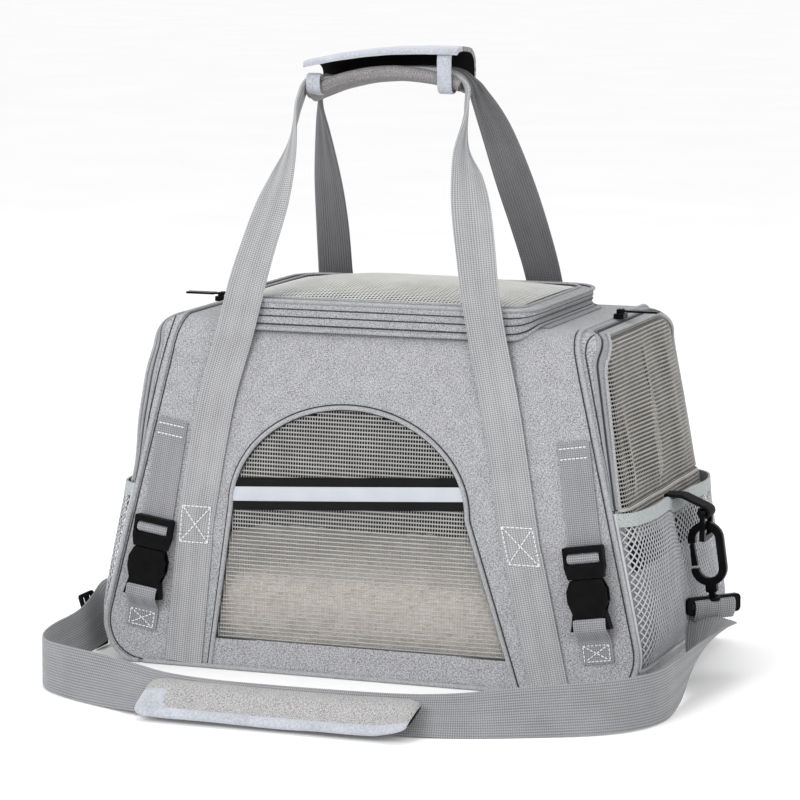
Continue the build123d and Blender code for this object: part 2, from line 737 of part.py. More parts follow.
def arc_radii(route):
    """As large a radius at each corner as its two runs allow."""
    radii = []
    points = [Vector(*point) for point in route]
    for before, corner, after in zip(points, points[1:], points[2:]):
        arrive, leave = corner - before, after - corner
        turn = radians(arrive.get_angle(leave))
        radii.append(0.45 * min(arrive.length, leave.length) / tan(turn / 2))
    return radii


radii = arc_radii(FLOOR_ROUTE)
loop_x, _, loop_z = loop_centre(1)
strap_end_z = loop_z - LOOP_DROP + LOOP_WIRE / 2 - 2
across_loop = (cos(radians(LOOP_TURN)), sin(radians(LOOP_TURN)), 0)
RISE_STATIONS = [
    ((loop_x, 0, strap_end_z), across_loop, STRAP_WIDE),
    ((246, -30, 34), (0.75, 0.15, 0.5), STRAP_WIDE),
    ((249, -75, 25), (0.35, 0, 0.9), STRAP_WIDE),
    ((248, -128, STAND), (0, 0, 1), STRAP_WIDE),
]
LEFT_END = FLOOR_ROUTE[-1]
LEFT_STATIONS = [
    ((-loop_x, 0, strap_end_z), (-across_loop[0], across_loop[1], 0), STRAP_WIDE),
    ((-243, -30, 34), (-0.75, 0.15, 0.5), STRAP_WIDE),
    ((-239, -75, 25), (-0.35, 0, 0.9), STRAP_WIDE),
    ((LEFT_END[0], LEFT_END[1], STAND), (0, 0, 1), STRAP_WIDE),
]
with BuildPart() as shoulder_strap:
    with BuildSketch(Plane.XY.offset(FLOOR_CLEAR)):
        with BuildLine():
            FilletPolyline(*FLOOR_ROUTE, radius=radii)
            offset(amount=STRAP_THICK / 2, side=Side.BOTH)
        make_face()
    extrude(amount=STRAP_WIDE)
    add(ribbon(RISE_STATIONS, STRAP_THICK))
    add(ribbon(LEFT_STATIONS, STRAP_THICK))
save(shoulder_strap, "shoulder_strap")

PAD_LONG, PAD_WIDE, PAD_THICK = 212.0, 48.0, 8.0
PAD_X = -8.0
PAD_LEAN = 60.0                  # the pad's upper edge leans back from the vertical
PAD_RISE = 16.0                  # lifts the leaning pad's lower corner clear of the floor
PAD_Y = -314.5            # where the tilted pad lies in front of the bag
with BuildPart() as shoulder_pad:
    lean_back = radians(PAD_LEAN)
    pad_plane = Plane(
        origin=(PAD_X - PAD_LONG / 2, PAD_Y, FLOOR_CLEAR),
        x_dir=(0, sin(lean_back), cos(lean_back)), z_dir=(1, 0, 0),
    )
    with BuildSketch(pad_plane):
        with Locations((PAD_WIDE / 2 + PAD_RISE, -PAD_THICK / 2 - 1)):
            RectangleRounded(PAD_WIDE, PAD_THICK, 3)
    extrude(amount=PAD_LONG)
save(shoulder_pad, "shoulder_pad")

# The slide that sets the strap's length sits on the left rise, against the webbing's outer face.
ADJUSTER_LONG, ADJUSTER_THICK = 24.0, 3.0
with BuildPart() as strap_adjuster:
    slide_plane = Plane(origin=(-238.3, -84, 24.5), x_dir=(0, 1, 0), z_dir=(-0.95, 0, -0.3))
    with BuildSketch(slide_plane.offset(4.5)):
        RectangleRounded(ADJUSTER_LONG, STRAP_WIDE + 7, 3)
        with Locations((-5.5, 0), (5.5, 0)):
            Rectangle(5.5, STRAP_WIDE + 1, mode=Mode.SUBTRACT)
    extrude(amount=ADJUSTER_THICK)
save(strap_adjuster, "strap_adjuster")
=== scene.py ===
import math

import bpy
import numpy as np
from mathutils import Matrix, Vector, noise


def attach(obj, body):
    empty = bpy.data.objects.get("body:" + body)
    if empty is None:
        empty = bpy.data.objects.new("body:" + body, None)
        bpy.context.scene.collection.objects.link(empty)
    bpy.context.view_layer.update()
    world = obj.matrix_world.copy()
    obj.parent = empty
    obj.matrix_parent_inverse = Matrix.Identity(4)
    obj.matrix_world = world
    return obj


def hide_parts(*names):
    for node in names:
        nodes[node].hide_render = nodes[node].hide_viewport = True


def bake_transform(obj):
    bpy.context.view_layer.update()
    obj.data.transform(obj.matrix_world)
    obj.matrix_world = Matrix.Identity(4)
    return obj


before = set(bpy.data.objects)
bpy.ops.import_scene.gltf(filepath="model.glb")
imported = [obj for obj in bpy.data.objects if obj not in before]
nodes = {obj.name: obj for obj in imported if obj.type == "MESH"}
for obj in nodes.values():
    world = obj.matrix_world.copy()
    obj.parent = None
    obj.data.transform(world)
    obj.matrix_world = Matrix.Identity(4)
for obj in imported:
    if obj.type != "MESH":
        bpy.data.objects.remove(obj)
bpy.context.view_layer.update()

# Lengths here are in millimetres, as in the CAD, and become metres when a mesh is made.
MM = 0.001

# ---- driving dimensions of the bag, the same as the CAD's ----------------------------------------
LEAN = 0.0687
BETA = math.atan(LEAN)
HALF_DEPTH = 120.0
DECK_Z = 272.0
SHOULDER_R = 22.0
CORNER_R = 42.0
WALL = 3.6
WINDOW_BOTTOM, WINDOW_SPRING, WINDOW_HALF, WINDOW_RISE = 25.0, 129.0, 94.5, 78.0
WINDOW_MIDDLE, WINDOW_FEET, BAND_TILT = -15.5, (-123.0, 113.5), math.tan(math.radians(3.2))
LID_HALF, LID_FRONT, LID_BACK, LID_LOW, LID_TOP, LID_CROWN = 127.0, -104.5, 78.0, 272.6, 287.0, 11.0
LID_R = 26.0
PIPING_FOOT, PIPING_SLOPE = 225.0, 0.239      # half length of the panel at the floor, and how it comes in
END_FOOT, END_SLOPE = 227.0, 0.1728
BAND, REFLECTIVE = (130.5, 155.5), (137.5, 148.5)      # lowest and highest height on the front panel
STRAP_WIDE = 38.0
NET_SHADE_FOOT = 96.0      # above this height the end's cloth behind the nets is painted black as shade
HANDLE_FOLD_Y, HANDLE_FOLD_Z = 0.1159, (0.122, 0.142)      # where the handles' webbing bends, in metres
FOOT_RISE = 131.0      # height over which a handle's sewn webbing goes from foot to top
SIDES = (("left", -1), ("right", 1))


def half_depth(z):
    return HALF_DEPTH - LEAN * z


def piping_half(z):
    return PIPING_FOOT - PIPING_SLOPE * z


def end_half(z):
    return END_FOOT - END_SLOPE * z


def corner_cut(z):
    """How far the rounded lower corners pull the outline in at height z."""
    if z >= CORNER_R:
        return 0.0
    return CORNER_R - math.sqrt(max(0.0, CORNER_R**2 - (CORNER_R - z) ** 2))


def smooth(t):
    t = min(1.0, max(0.0, t))
    return t * t * (3 - 2 * t)


def lerp(a, b, t):
    return a + (b - a) * t


# ---- camera and light ----------------------------------------------------------------------------
AZIMUTH, ELEVATION, DISTANCE = math.radians(20.1), math.radians(8.5), 2.7
TARGET = Vector((-0.0145, 0, 0.1995))
FOCAL = 153.9
back = Vector((
    math.sin(AZIMUTH) * math.cos(ELEVATION), -math.cos(AZIMUTH) * math.cos(ELEVATION), math.sin(ELEVATION),
))
camera = bpy.data.objects.new("camera", bpy.data.cameras.new("camera"))
bpy.context.scene.collection.objects.link(camera)
camera.location = TARGET + back * DISTANCE
camera.rotation_euler = back.to_track_quat("Z", "Y").to_euler()
camera.data.lens = FOCAL
camera.data.clip_start = 0.05
bpy.context.scene.camera = camera
bpy.context.scene.view_settings.view_transform = "Standard"


def area_light(name, place, size, power):
    data = bpy.data.lights.new(name, "AREA")
    data.shape = "DISK"
    data.size = size
    data.energy = power
    lamp = bpy.data.objects.new(name, data)
    bpy.context.scene.collection.objects.link(lamp)
    lamp.location = place
    lamp.rotation_euler = (Vector(place) - Vector((0, 0, 0.15))).to_track_quat("Z", "Y").to_euler()


area_light("key", (-0.7, -2.1, 1.25), 1.3, 25)
area_light("fill", (1.8, -1.3, 0.9), 1.6, 8)
area_light("top", (-0.3, 0.4, 2.2), 1.5, 11)
world = bpy.data.worlds.new("world")
bpy.context.scene.world = world
world.use_nodes = True
world.node_tree.nodes["Background"].inputs[0].default_value = (1, 1, 1, 1)
world.node_tree.nodes["Background"].inputs[1].default_value = 1.0


# ---- materials -----------------------------------------------------------------------------------
class Shader:
    """A Principled material whose nodes are chained by name."""

    def __init__(self, name, roughness=0.8, specular=0.3, metallic=0.0, sheen=0.0):
        self.material = bpy.data.materials.new(name)
        self.material.use_nodes = True
        self.tree = self.material.node_tree
        self.principled = self.tree.nodes["Principled BSDF"]
        self.principled.inputs["Roughness"].default_value = roughness
        self.principled.inputs["Specular IOR Level"].default_value = specular
        self.principled.inputs["Metallic"].default_value = metallic
        self.principled.inputs["Sheen Weight"].default_value = sheen

    def node(self, kind, inputs=(), **settings):
        made = self.tree.nodes.new(kind)
        for key, value in settings.items():
            setattr(made, key, value)
        for key, value in dict(inputs).items():
            self.set(made, key, value)
        return made

    def set(self, node, key, value):
        if isinstance(value, bpy.types.NodeSocket):
            self.tree.links.new(value, node.inputs[key])
        else:
            node.inputs[key].default_value = value

    def coords(self, scale, source="Object"):
        """Coordinates in units of 1/scale metres."""
        base = self.node("ShaderNodeTexCoord").outputs[source]
        return self.node("ShaderNodeMapping", {"Vector": base, "Scale": scale}).outputs[0]

    def noise(self, scale, detail=2.0, rough=0.5, source="Object"):
        """Noise in units of 1/scale metres, given for each axis or once for all three."""
        vector = self.coords(scale if isinstance(scale, tuple) else (scale,) * 3, source)
        return self.node(
            "ShaderNodeTexNoise", {"Vector": vector, "Scale": 1.0, "Detail": detail, "Roughness": rough}
        ).outputs[0]

    def ramp(self, factor, stops):
        made = self.node("ShaderNodeValToRGB", {"Fac": factor})
        ends = made.color_ramp.elements
        while len(ends) < len(stops):
            ends.new(0.5)
        for element, (place, colour) in zip(ends, stops):
            element.position = place
            element.color = (*colour, 1) if len(colour) == 3 else colour
        return made.outputs[0]

    def math(self, operation, a, b=0.0):
        return self.node("ShaderNodeMath", {0: a, 1: b}, operation=operation).outputs[0]

    def weighted(self, a, share_a, b, share_b):
        return self.math("ADD", self.math("MULTIPLY", a, share_a), self.math("MULTIPLY", b, share_b))

    def stained(self, shade, stain, share):
        """shade made lighter and darker by a noise that swings about a half."""
        return self.math("ADD", shade, self.math("MULTIPLY", self.math("SUBTRACT", stain, 0.5), share))

    def finish(self, colour, height=None, distance=0.0003, strength=0.6, roughness=None):
        self.set(self.principled, "Base Color", colour if not isinstance(colour, tuple) else (*colour, 1))
        if roughness is not None:
            self.set(self.principled, "Roughness", roughness)
        if height is not None:
            bump = self.node("ShaderNodeBump", {"Height": height, "Distance": distance, "Strength": strength})
            self.set(self.principled, "Normal", bump.outputs[0])
        return self.material


def threads(shader, vector, pitch, axis):
    """Evenly spaced rounded threads across one axis of the coordinates, from 0 to 1."""
    separate = shader.node("ShaderNodeSeparateXYZ", {0: vector})
    turned = shader.math("MULTIPLY", separate.outputs[axis], 2 * math.pi / pitch)
    return shader.math("MULTIPLY_ADD", shader.math("SINE", turned), 0.5)


def weave_height(shader, vector, pitch):
    """Plain weave: the warp is over the weft in a checkerboard."""
    separate = shader.node("ShaderNodeSeparateXYZ", {0: vector})
    across = shader.math("SINE", shader.math("MULTIPLY", separate.outputs[0], math.pi / pitch))
    along = shader.math("SINE", shader.math("MULTIPLY", separate.outputs[1], math.pi / pitch))
    return shader.math("ABSOLUTE", shader.math("MULTIPLY", across, along))


def oxford(name, tint, pitch=0.0009, contrast=1.0):
    """Heathered oxford cloth: light and dark yarns in both directions over a plain weave."""
    s = Shader(name, roughness=0.85, specular=0.2, sheen=0.1)
    uv = s.coords((1, 1, 1), "UV")
    warp = s.noise((1500, 420, 1), 2.0, 0.7, "UV")
    weft = s.noise((420, 1500, 1), 2.0, 0.7, "UV")
    grain = s.noise((1250, 1250, 1), 1.0, 0.5, "UV")
    blotch = s.noise((90, 90, 1), 3.0, 0.6, "UV")
    both = s.math("MULTIPLY", s.math("ADD", warp, weft), 0.5)
    fleck = s.stained(s.weighted(both, 0.55, grain, 0.45), blotch, 0.08)
    low, mid, high = (tuple(c * k for c in tint) for k in (1 - 0.66 * contrast, 1.0, 1 + 0.55 * contrast))
    colour = s.ramp(fleck, [(0.39, low), (0.5, mid), (0.61, high)])
    height = s.math("ADD", weave_height(s, uv, pitch), s.math("MULTIPLY", fleck, 0.8))
    return s.finish(colour, height, 0.0003, 0.8)


def webbing(name, tint, pitch=0.0021):
    """Ribbed webbing: UV x runs across it and UV y along it, both in metres."""
    s = Shader(name, roughness=0.7, specular=0.3, sheen=0.2)
    uv = s.coords((1, 1, 1), "UV")
    picks = threads(s, uv, 0.0016, 1)
    ribs = threads(s, uv, pitch, 0)
    fibre = s.noise((900, 2600, 1), 2.0, 0.6, "UV")
    dirt = s.noise(40, 3.0, 0.5)
    shade = s.stained(s.weighted(s.math("MULTIPLY", picks, ribs), 0.55, fibre, 0.5), dirt, 0.15)
    low, mid, high = (tuple(c * k for c in tint) for k in (0.42, 0.92, 1.28))
    colour = s.ramp(shade, [(0.18, low), (0.45, mid), (0.75, high)])
    height = s.math("ADD", s.math("MULTIPLY", picks, ribs), s.math("MULTIPLY", fibre, 0.3))
    return s.finish(colour, height, 0.0004, 0.7)


def plain_cloth(name, tint, roughness=0.9, grain=1400, spread=0.25, bump=0.00012, sheen=0.2):
    s = Shader(name, roughness=roughness, specular=0.2, sheen=sheen)
    fine = s.noise(grain, 3.0, 0.6)
    wide = s.noise(60, 2.0, 0.5)
    shade = s.weighted(fine, 0.7, wide, 0.3)
    low, high = (tuple(c * k for c in tint) for k in (1 - spread, 1 + spread))
    return s.finish(s.ramp(shade, [(0.35, low), (0.65, high)]), fine, bump, 0.6)


def plastic(name, tint, roughness=0.38, grain=2500):
    s = Shader(name, roughness=roughness, specular=0.05)
    fine = s.noise(grain, 2.0, 0.5)
    scuff = s.noise(130, 5.0, 0.65)
    colour = s.ramp(scuff, [(0.35, tint), (0.75, tuple(c * 1.8 + 0.002 for c in tint))])
    rough = s.math("ADD", s.math("MULTIPLY", scuff, 0.22), roughness - 0.1)
    return s.finish(colour, s.math("ADD", fine, scuff), 0.00008, 0.5, rough)


GREY = (0.335, 0.337, 0.352)
OXFORD = oxford("oxford_grey", GREY)
ROLL = oxford("oxford_warm_grey", (0.245, 0.235, 0.24), contrast=1.1)
PAD_CLOTH = oxford("oxford_pad", (0.36, 0.355, 0.355), contrast=0.9)
LINING = plain_cloth("black_lining", (0.005, 0.005, 0.0055), 0.85, 1100, 0.5, sheen=0.0)
CORD = oxford("piping_cord", (0.375, 0.38, 0.395), 0.0006, 0.7)
# dark tubes beside the cords, on the zips and in the lid flap's grooves: partly dark seam thread, partly
# painted shade
SEAM_AND_SHADE = plain_cloth("dark_seam_and_painted_shade", (0.03, 0.03, 0.034), 0.8, 1800, 0.4)
ZIP_TAPE = oxford("zip_tape", (0.33, 0.335, 0.355), 0.0005, 0.5)
WEBBING = webbing("grey_webbing", (0.27, 0.274, 0.286))
HANDLE_WEBBING = webbing("handle_webbing", (0.39, 0.393, 0.405))
# painted shade: the back handle's webbing is a darker copy of the front handle's webbing, for the shade on
# its inner face
BACK_WEBBING_SHADED = webbing("back_webbing_painted_shade", (0.17, 0.17, 0.18))
BUCKLE_WEBBING = webbing("buckle_webbing", (0.29, 0.293, 0.31), 0.0018)
BLACK_WEBBING = plain_cloth("black_webbing", (0.004, 0.004, 0.0045), 0.85, 1500, 0.5, sheen=0.0)
MESH_MATERIAL = plain_cloth("coated_mesh", (0.42, 0.418, 0.408), 0.45, 2500, 0.2, 0.0001, 0.0)
LID_MESH = plain_cloth("lid_mesh", (0.60, 0.60, 0.585), 0.5, 2500, 0.15, 0.0001, 0.0)
SIDE_MESH = plain_cloth("coated_mesh_warm", (0.39, 0.38, 0.36), 0.45, 2500, 0.2, 0.0001, 0.0)
NET_MATERIAL = plain_cloth("pocket_net", (0.42, 0.43, 0.45), 0.8, 2500, 0.2)
ELASTIC = oxford("elastic_hem", (0.40, 0.425, 0.425), 0.0007, 0.6)
VELVET = plain_cloth("pale_velvet", (0.38, 0.395, 0.44), 0.95, 700, 0.22, 0.0004, 0.4)
TAPE = plain_cloth("reflective_tape", (0.44, 0.46, 0.50), 0.4, 3500, 0.08, 0.00005, 0.0)
THREAD = plain_cloth("white_thread", (0.78, 0.79, 0.80), 0.8, 3000, 0.1)
BLACK_PLASTIC = plastic("black_plastic", (0.002, 0.002, 0.0023), 0.36)
BLACK_METAL = plastic("black_enamel", (0.0025, 0.0025, 0.003), 0.3, 900)
BOARD = plastic("stiffener_board", (0.02, 0.02, 0.02), 0.6)


def fleece_material():
    s = Shader("fleece", roughness=0.95, specular=0.1, sheen=0.4)
    tuft = s.noise(240, 4.0, 0.65)
    fine = s.noise(900, 3.0, 0.6)
    shade = s.weighted(tuft, 0.65, fine, 0.35)
    stops = [(0.36, (0.50, 0.42, 0.34)), (0.5, (0.80, 0.72, 0.63)), (0.64, (0.92, 0.87, 0.80))]
    return s.finish(s.ramp(shade, stops), shade, 0.0012, 0.9)


FLEECE = fleece_material()


# ---- mesh tools ----------------------------------------------------------------------------------
def make(name, verts, faces, materials, body="root", slot=None, replaces=(), face_material=None, uvs=None,
         sharp=40.0):
    """A mesh object from millimetre points, riding on a body."""
    mesh = bpy.data.meshes.new(name)
    mesh.from_pydata([tuple(c * MM for c in v) for v in verts], [], faces)
    if uvs is not None:
        layer = mesh.uv_layers.new(name="UVMap")
        flat = np.array([c * MM for loop in mesh.loops for c in uvs[loop.vertex_index]], np.float32)
        layer.data.foreach_set("uv", flat)
    for material in materials if isinstance(materials, (list, tuple)) else [materials]:
        mesh.materials.append(material)
    if face_material is not None:
        mesh.polygons.foreach_set("material_index", np.array(face_material, np.int32))
    mesh.shade_smooth()
    mesh.set_sharp_from_angle(angle=math.radians(sharp))
    made = bpy.data.objects.new(name, mesh)
    bpy.context.scene.collection.objects.link(made)
    if body is not None:
        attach(made, body)
    if replaces:
        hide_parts(*replaces)
    return made


def unit(vectors):
    """The vectors at length one, along the last axis."""
    return vectors / np.maximum(np.linalg.norm(vectors, axis=-1, keepdims=True), 1e-9)


def run_length(points):
    """How far along its polyline each point lies."""
    return np.concatenate([[0], np.cumsum(np.linalg.norm(np.diff(points, axis=0), axis=1))])


def tube_faces(rings, sides, base=0, closed=False):
    """Quads between rings of vertices that follow one another."""
    faces = []
    for i in range(rings if closed else rings - 1):
        a, b = base + i * sides, base + (i + 1) % rings * sides
        for k in range(sides):
            q = (k + 1) % sides
            faces.append((a + k, a + q, b + q, b + k))
    return faces


def grid_normals(points):
    """Unit normals of a grid of points, as an array of the same shape."""
    du = np.gradient(points, axis=0)
    dv = np.gradient(points, axis=1)
    return unit(np.cross(du, dv))


def slab(name, points, thick, materials, flip=False, **keys):
    """A closed sheet: points is a grid of outer points, and the back lies thick behind it."""
    points = np.array(points, float)
    nu, nv = points.shape[:2]
    normal = grid_normals(points) * (-1 if flip else 1)
    inner = points - normal * thick
    u_run, v_run = run_length(points[:, nv // 2]), run_length(points[nu // 2])
    verts = [tuple(p) for p in points.reshape(-1, 3)] + [tuple(p) for p in inner.reshape(-1, 3)]
    uvs = [(u_run[i], v_run[j]) for i in range(nu) for j in range(nv)] * 2
    faces, which = [], []
    n = nu * nv
    two_sided = isinstance(materials, (list, tuple)) and len(materials) > 1

    def face(quad, index):
        faces.append(quad if not flip else quad[::-1])
        which.append(index)

    for i in range(nu - 1):
        for j in range(nv - 1):
            a, b, c, d = i * nv + j, (i + 1) * nv + j, (i + 1) * nv + j + 1, i * nv + j + 1
            face((a, b, c, d), 0)
            face((n + d, n + c, n + b, n + a), 1 if two_sided else 0)
    rim = (
        [(i, 0) for i in range(nu)] + [(nu - 1, j) for j in range(1, nv)]
        + [(i, nv - 1) for i in range(nu - 2, -1, -1)] + [(0, j) for j in range(nv - 2, 0, -1)]
    )
    for (i, j), (k, m) in zip(rim, rim[1:] + rim[:1]):
        a, b = i * nv + j, k * nv + m
        face((b, a, n + a, n + b), 0)
    return make(name, verts, faces, materials, face_material=which, uvs=uvs, **keys)


def resample(points, step, closed=False):
    """The same polyline with even spacing."""
    points = np.array(points, float)
    if closed:
        points = np.vstack([points, points[:1]])
    run = run_length(points)
    count = max(2, int(round(run[-1] / step)) + 1)
    at = np.linspace(0, run[-1], count)
    out = np.stack([np.interp(at, run, points[:, k]) for k in range(points.shape[1])], axis=1)
    return out[:-1] if closed else out


def curve_through(points, count):
    """Catmull-Rom through rows of numbers."""
    p = np.array(points, float)
    p = np.vstack([2 * p[0] - p[1], p, 2 * p[-1] - p[-2]])
    spans = len(p) - 3
    out = []
    for k in range(count):
        t = k / (count - 1) * spans
        i = min(int(t), spans - 1)
        t -= i
        a, b, c, d = p[i:i + 4]
        out.append(0.5 * (2 * b + (c - a) * t + (2 * a - 5 * b + 4 * c - d) * t**2
                          + (3 * b - a - 3 * c + d) * t**3))
    return np.array(out)


def tangents(points, closed=False):
    if closed:
        t = np.roll(points, -1, axis=0) - np.roll(points, 1, axis=0)
    else:
        t = np.gradient(points, axis=0)
    return unit(t)


def sweep(name, points, section, normals, materials, closed=False, **keys):
    """Sweeps a closed section of (sideways, out) pairs along points; normals point out.

    section is one list, or a function of the station's number that gives a list of the same length.
    """
    sections = [section(i) if callable(section) else section for i in range(len(points))]
    section = sections[0]
    points = np.array(points, float)
    normals = np.array(normals, float)
    t = tangents(points, closed)
    side = unit(np.cross(t, normals))
    out = np.cross(side, t)
    verts, uvs = [], []
    m = len(section)
    around = np.concatenate([[0], np.cumsum([math.dist(section[k], section[(k + 1) % m]) for k in range(m)])])
    gone = 0.0
    for i in range(len(points)):
        if i:
            gone += float(np.linalg.norm(points[i] - points[i - 1]))
        for k, (a, b) in enumerate(sections[i]):
            verts.append(tuple(points[i] + side[i] * a + out[i] * b))
            uvs.append((around[k], gone))
    rings = len(points)
    faces = tube_faces(rings, m, closed=closed)
    if not closed:
        faces.append(tuple(range(m))[::-1])
        faces.append(tuple(range((rings - 1) * m, rings * m)))
    return make(name, verts, faces, materials, uvs=uvs, **keys)


def round_section(radius, sides=10, flat=1.0):
    return [
        (radius * math.cos(2 * math.pi * k / sides), flat * radius * math.sin(2 * math.pi * k / sides))
        for k in range(sides)
    ]


def webbing_section(wide, thick, ribs, rise=0.22):
    """Closed section of ribbed webbing: rounded edges, ribs on both faces."""
    steps = ribs * 4
    upper, lower = [], []
    for k in range(steps + 1):
        across = -1 + 2 * k / steps
        edge = math.sqrt(max(0.0, 1 - abs(across) ** 12))
        height = (thick / 2) * (0.45 + 0.55 * edge) + rise * math.cos(2 * math.pi * ribs * k / steps) * edge
        upper.append((across * wide / 2, height))
        lower.append((across * wide / 2, -height))
    return upper + lower[::-1]


def ribbon(name, points, across, section, materials, **keys):
    """Sweeps a webbing section whose width follows the across vectors."""
    points = np.array(points, float)
    across = np.array(across, float)
    t = tangents(points)
    across = unit(across - t * np.sum(across * t, axis=1, keepdims=True))
    normals = np.cross(across, t)
    return sweep(name, points, section, normals, materials, **keys)


def cut(target, cutter):
    """Takes the closed cutter out of target for good, and removes the cutter."""
    modifier = target.modifiers.new("cut", "BOOLEAN")
    modifier.operation = "DIFFERENCE"
    modifier.solver = "MANIFOLD"
    modifier.object = cutter
    graph = bpy.context.evaluated_depsgraph_get()
    mesh = bpy.data.meshes.new_from_object(target.evaluated_get(graph))
    target.modifiers.clear()
    target.data = mesh
    bpy.data.objects.remove(cutter)


def prism(name, outline, low, high):
    """A closed block from an outline of 3-D points, moved by low and by high to its two ends."""
    n = len(outline)
    verts = [tuple(np.array(p) + np.array(low)) for p in outline]
    verts += [tuple(np.array(p) + np.array(high)) for p in outline]
    faces = [tuple(range(n))[::-1], tuple(range(n, 2 * n))]
    faces += [(k, (k + 1) % n, n + (k + 1) % n, n + k) for k in range(n)]
    return make(name, verts, faces, [LINING], body=None)


def net(name, surface, inside, u_lines, v_lines, wides, thick, material, **keys):
    """Open mesh of real threads on surface(u, v), kept where inside(u, v) holds."""
    verts, faces = [], []

    def thread(samples, lift, wide):
        p = np.array([surface(u, v) for u, v in samples])
        eps = 0.6
        du = np.array([surface(u + eps, v) for u, v in samples]) - p
        dv = np.array([surface(u, v + eps) for u, v in samples]) - p
        normal = unit(np.cross(du, dv))
        side = unit(np.cross(tangents(p), normal))
        base = len(verts)
        centre = p + normal * lift
        for i in range(len(p)):
            for a, b in ((-wide / 2, 0), (0, thick / 2), (wide / 2, 0), (0, -thick / 2)):
                verts.append(tuple(centre[i] + side[i] * a + normal[i] * b))
        faces.extend(tube_faces(len(p), 4, base))
        faces.append((base + 3, base + 2, base + 1, base))
        last = base + 4 * (len(p) - 1)
        faces.append((last, last + 1, last + 2, last + 3))

    for lines, lift, wide in ((u_lines, 0.12, wides[0]), (v_lines, -0.12, wides[1])):
        for line in lines:
            run = []
            for u, v in line + [(None, None)]:
                if u is not None and inside(u, v):
                    run.append((u, v))
                    continue
                if len(run) > 2:
                    thread(run, lift, wide)
                run = []
    return make(name, verts, faces, material, sharp=180, **keys)


def straight_lines(u0, u1, v0, v1, pitch_u, pitch_v, step):
    """Threads of a grid over a rectangle of the surface's coordinates."""
    def spread(a, b, d):
        count = max(2, int(round((b - a) / d)) + 1)
        return list(np.linspace(a, b, count))
    us, vs = spread(u0, u1, pitch_u), spread(v0, v1, pitch_v)
    fine_u, fine_v = spread(u0, u1, step), spread(v0, v1, step)
    return [[(u, v) for v in fine_v] for u in us], [[(u, v) for u in fine_u] for v in vs]


def diagonal_lines(u0, u1, v0, v1, pitch, step):
    """Threads of a diamond net."""
    rise = v1 - v0
    families = []
    for slope in (1, -1):
        lines = []
        start = u0 - rise if slope > 0 else u0
        stop = u1 if slope > 0 else u1 + rise
        count = int((stop - start) / pitch)
        fine = np.linspace(0, rise, max(4, int(rise / step)))
        for k in range(count + 1):
            lines.append([(start + k * pitch + slope * t * 0.75, v0 + t) for t in fine])
        families.append(lines)
    return families


def stitches(name, runs, length, gap, body="root", radius=0.42):
    """Rows of lock stitches: each run is (points, normals)."""
    verts, faces = [], []
    for points, normals in runs:
        points = np.array(points, float)
        run = run_length(points)
        normals = np.array(normals, float)
        place = 0.0
        while place + length < run[-1]:
            ends = []
            for at in (place, place + length / 2, place + length):
                p = np.array([np.interp(at, run, points[:, k]) for k in range(3)])
                n = np.array([np.interp(at, run, normals[:, k]) for k in range(3)])
                ends.append((p, n / np.linalg.norm(n)))
            along = ends[2][0] - ends[0][0]
            along /= np.linalg.norm(along)
            base = len(verts)
            for index, (p, n) in enumerate(ends):
                lift = (-0.25, 0.35, -0.25)[index]
                side = np.cross(along, n)
                for k in range(6):
                    angle = 2 * math.pi * k / 6
                    verts.append(tuple(p + n * lift + side * radius * math.cos(angle)
                                       + n * radius * math.sin(angle)))
            faces.extend(tube_faces(3, 6, base))
            faces.append(tuple(base + k for k in range(5, -1, -1)))
            faces.append(tuple(base + 12 + k for k in range(6)))
            place += length + gap
    return make(name, verts, faces, THREAD, body=body, sharp=180)


# ---- the shapes that the pieces share ------------------------------------------------------------
BULGE = 4.5


def bulge(u, v):
    side = max(0.0, 1 - (u / 186.0) ** 2) ** 2
    up = math.sin(math.pi * min(1.0, max(0.0, v / 266.0))) ** 0.8
    ripple = 0.7 * noise.noise(Vector((u * 0.018, v * 0.024, 3.1)))
    return BULGE * side * up + ripple * side


def front(u, v, out=0.0):
    """Point on the bulged front panel, out millimetres proud of it."""
    d = bulge(u, v) + out
    up, over = math.cos(BETA), math.sin(BETA)
    return np.array((u, -HALF_DEPTH + v * over - d * up, v * up + d * over))


FRONT_OUT = np.array((0, -math.cos(BETA), math.sin(BETA)))


# heights of the first rows, close together on the corners
LOW_ROWS = (0.3, 1.0, 2.2, 4.0, 6.5, 10.0, 15.0)


def shell_profile(step):
    """Outer outline of the bag in the YZ plane: up the front, over the deck, down the back."""
    tangent = SHOULDER_R * math.tan(math.radians(90 - math.degrees(BETA)) / 2)
    top = half_depth(DECK_Z)
    front_top = (-(top + tangent * math.sin(BETA)), DECK_Z - tangent * math.cos(BETA))
    deck_front = (-(top - tangent), DECK_Z)
    centre = (deck_front[0], DECK_Z - SHOULDER_R)
    start = math.atan2(front_top[1] - centre[1], front_top[0] - centre[0])
    arc = [
        (centre[0] + SHOULDER_R * math.cos(a), centre[1] + SHOULDER_R * math.sin(a))
        for a in np.linspace(start, math.pi / 2, 14)
    ]
    half = [(-half_depth(LOW_ROWS[-1]), LOW_ROWS[-1])] + arc
    whole = [tuple(p) for p in resample(half + [(-y, z) for y, z in reversed(half)], step)]
    low = [(-half_depth(z), z) for z in LOW_ROWS[:-1]]
    return np.array(low + whole + [(-y, z) for y, z in reversed(low)])


def window_sides(grow, v):
    """Left and right edge of the arched window on the front panel at height v, or None above it."""
    half = WINDOW_HALF + grow
    if v > WINDOW_SPRING:
        share = 1 - ((v - WINDOW_SPRING) / (WINDOW_RISE + grow)) ** 2
        return None if share <= 0 else tuple(WINDOW_MIDDLE + way * half * math.sqrt(share) for way in (-1, 1))
    drop = (WINDOW_SPRING - v) / (WINDOW_SPRING - WINDOW_BOTTOM)
    return tuple(
        WINDOW_MIDDLE + way * half + drop * (foot - WINDOW_MIDDLE - way * WINDOW_HALF)
        for way, foot in zip((-1, 1), WINDOW_FEET)
    )


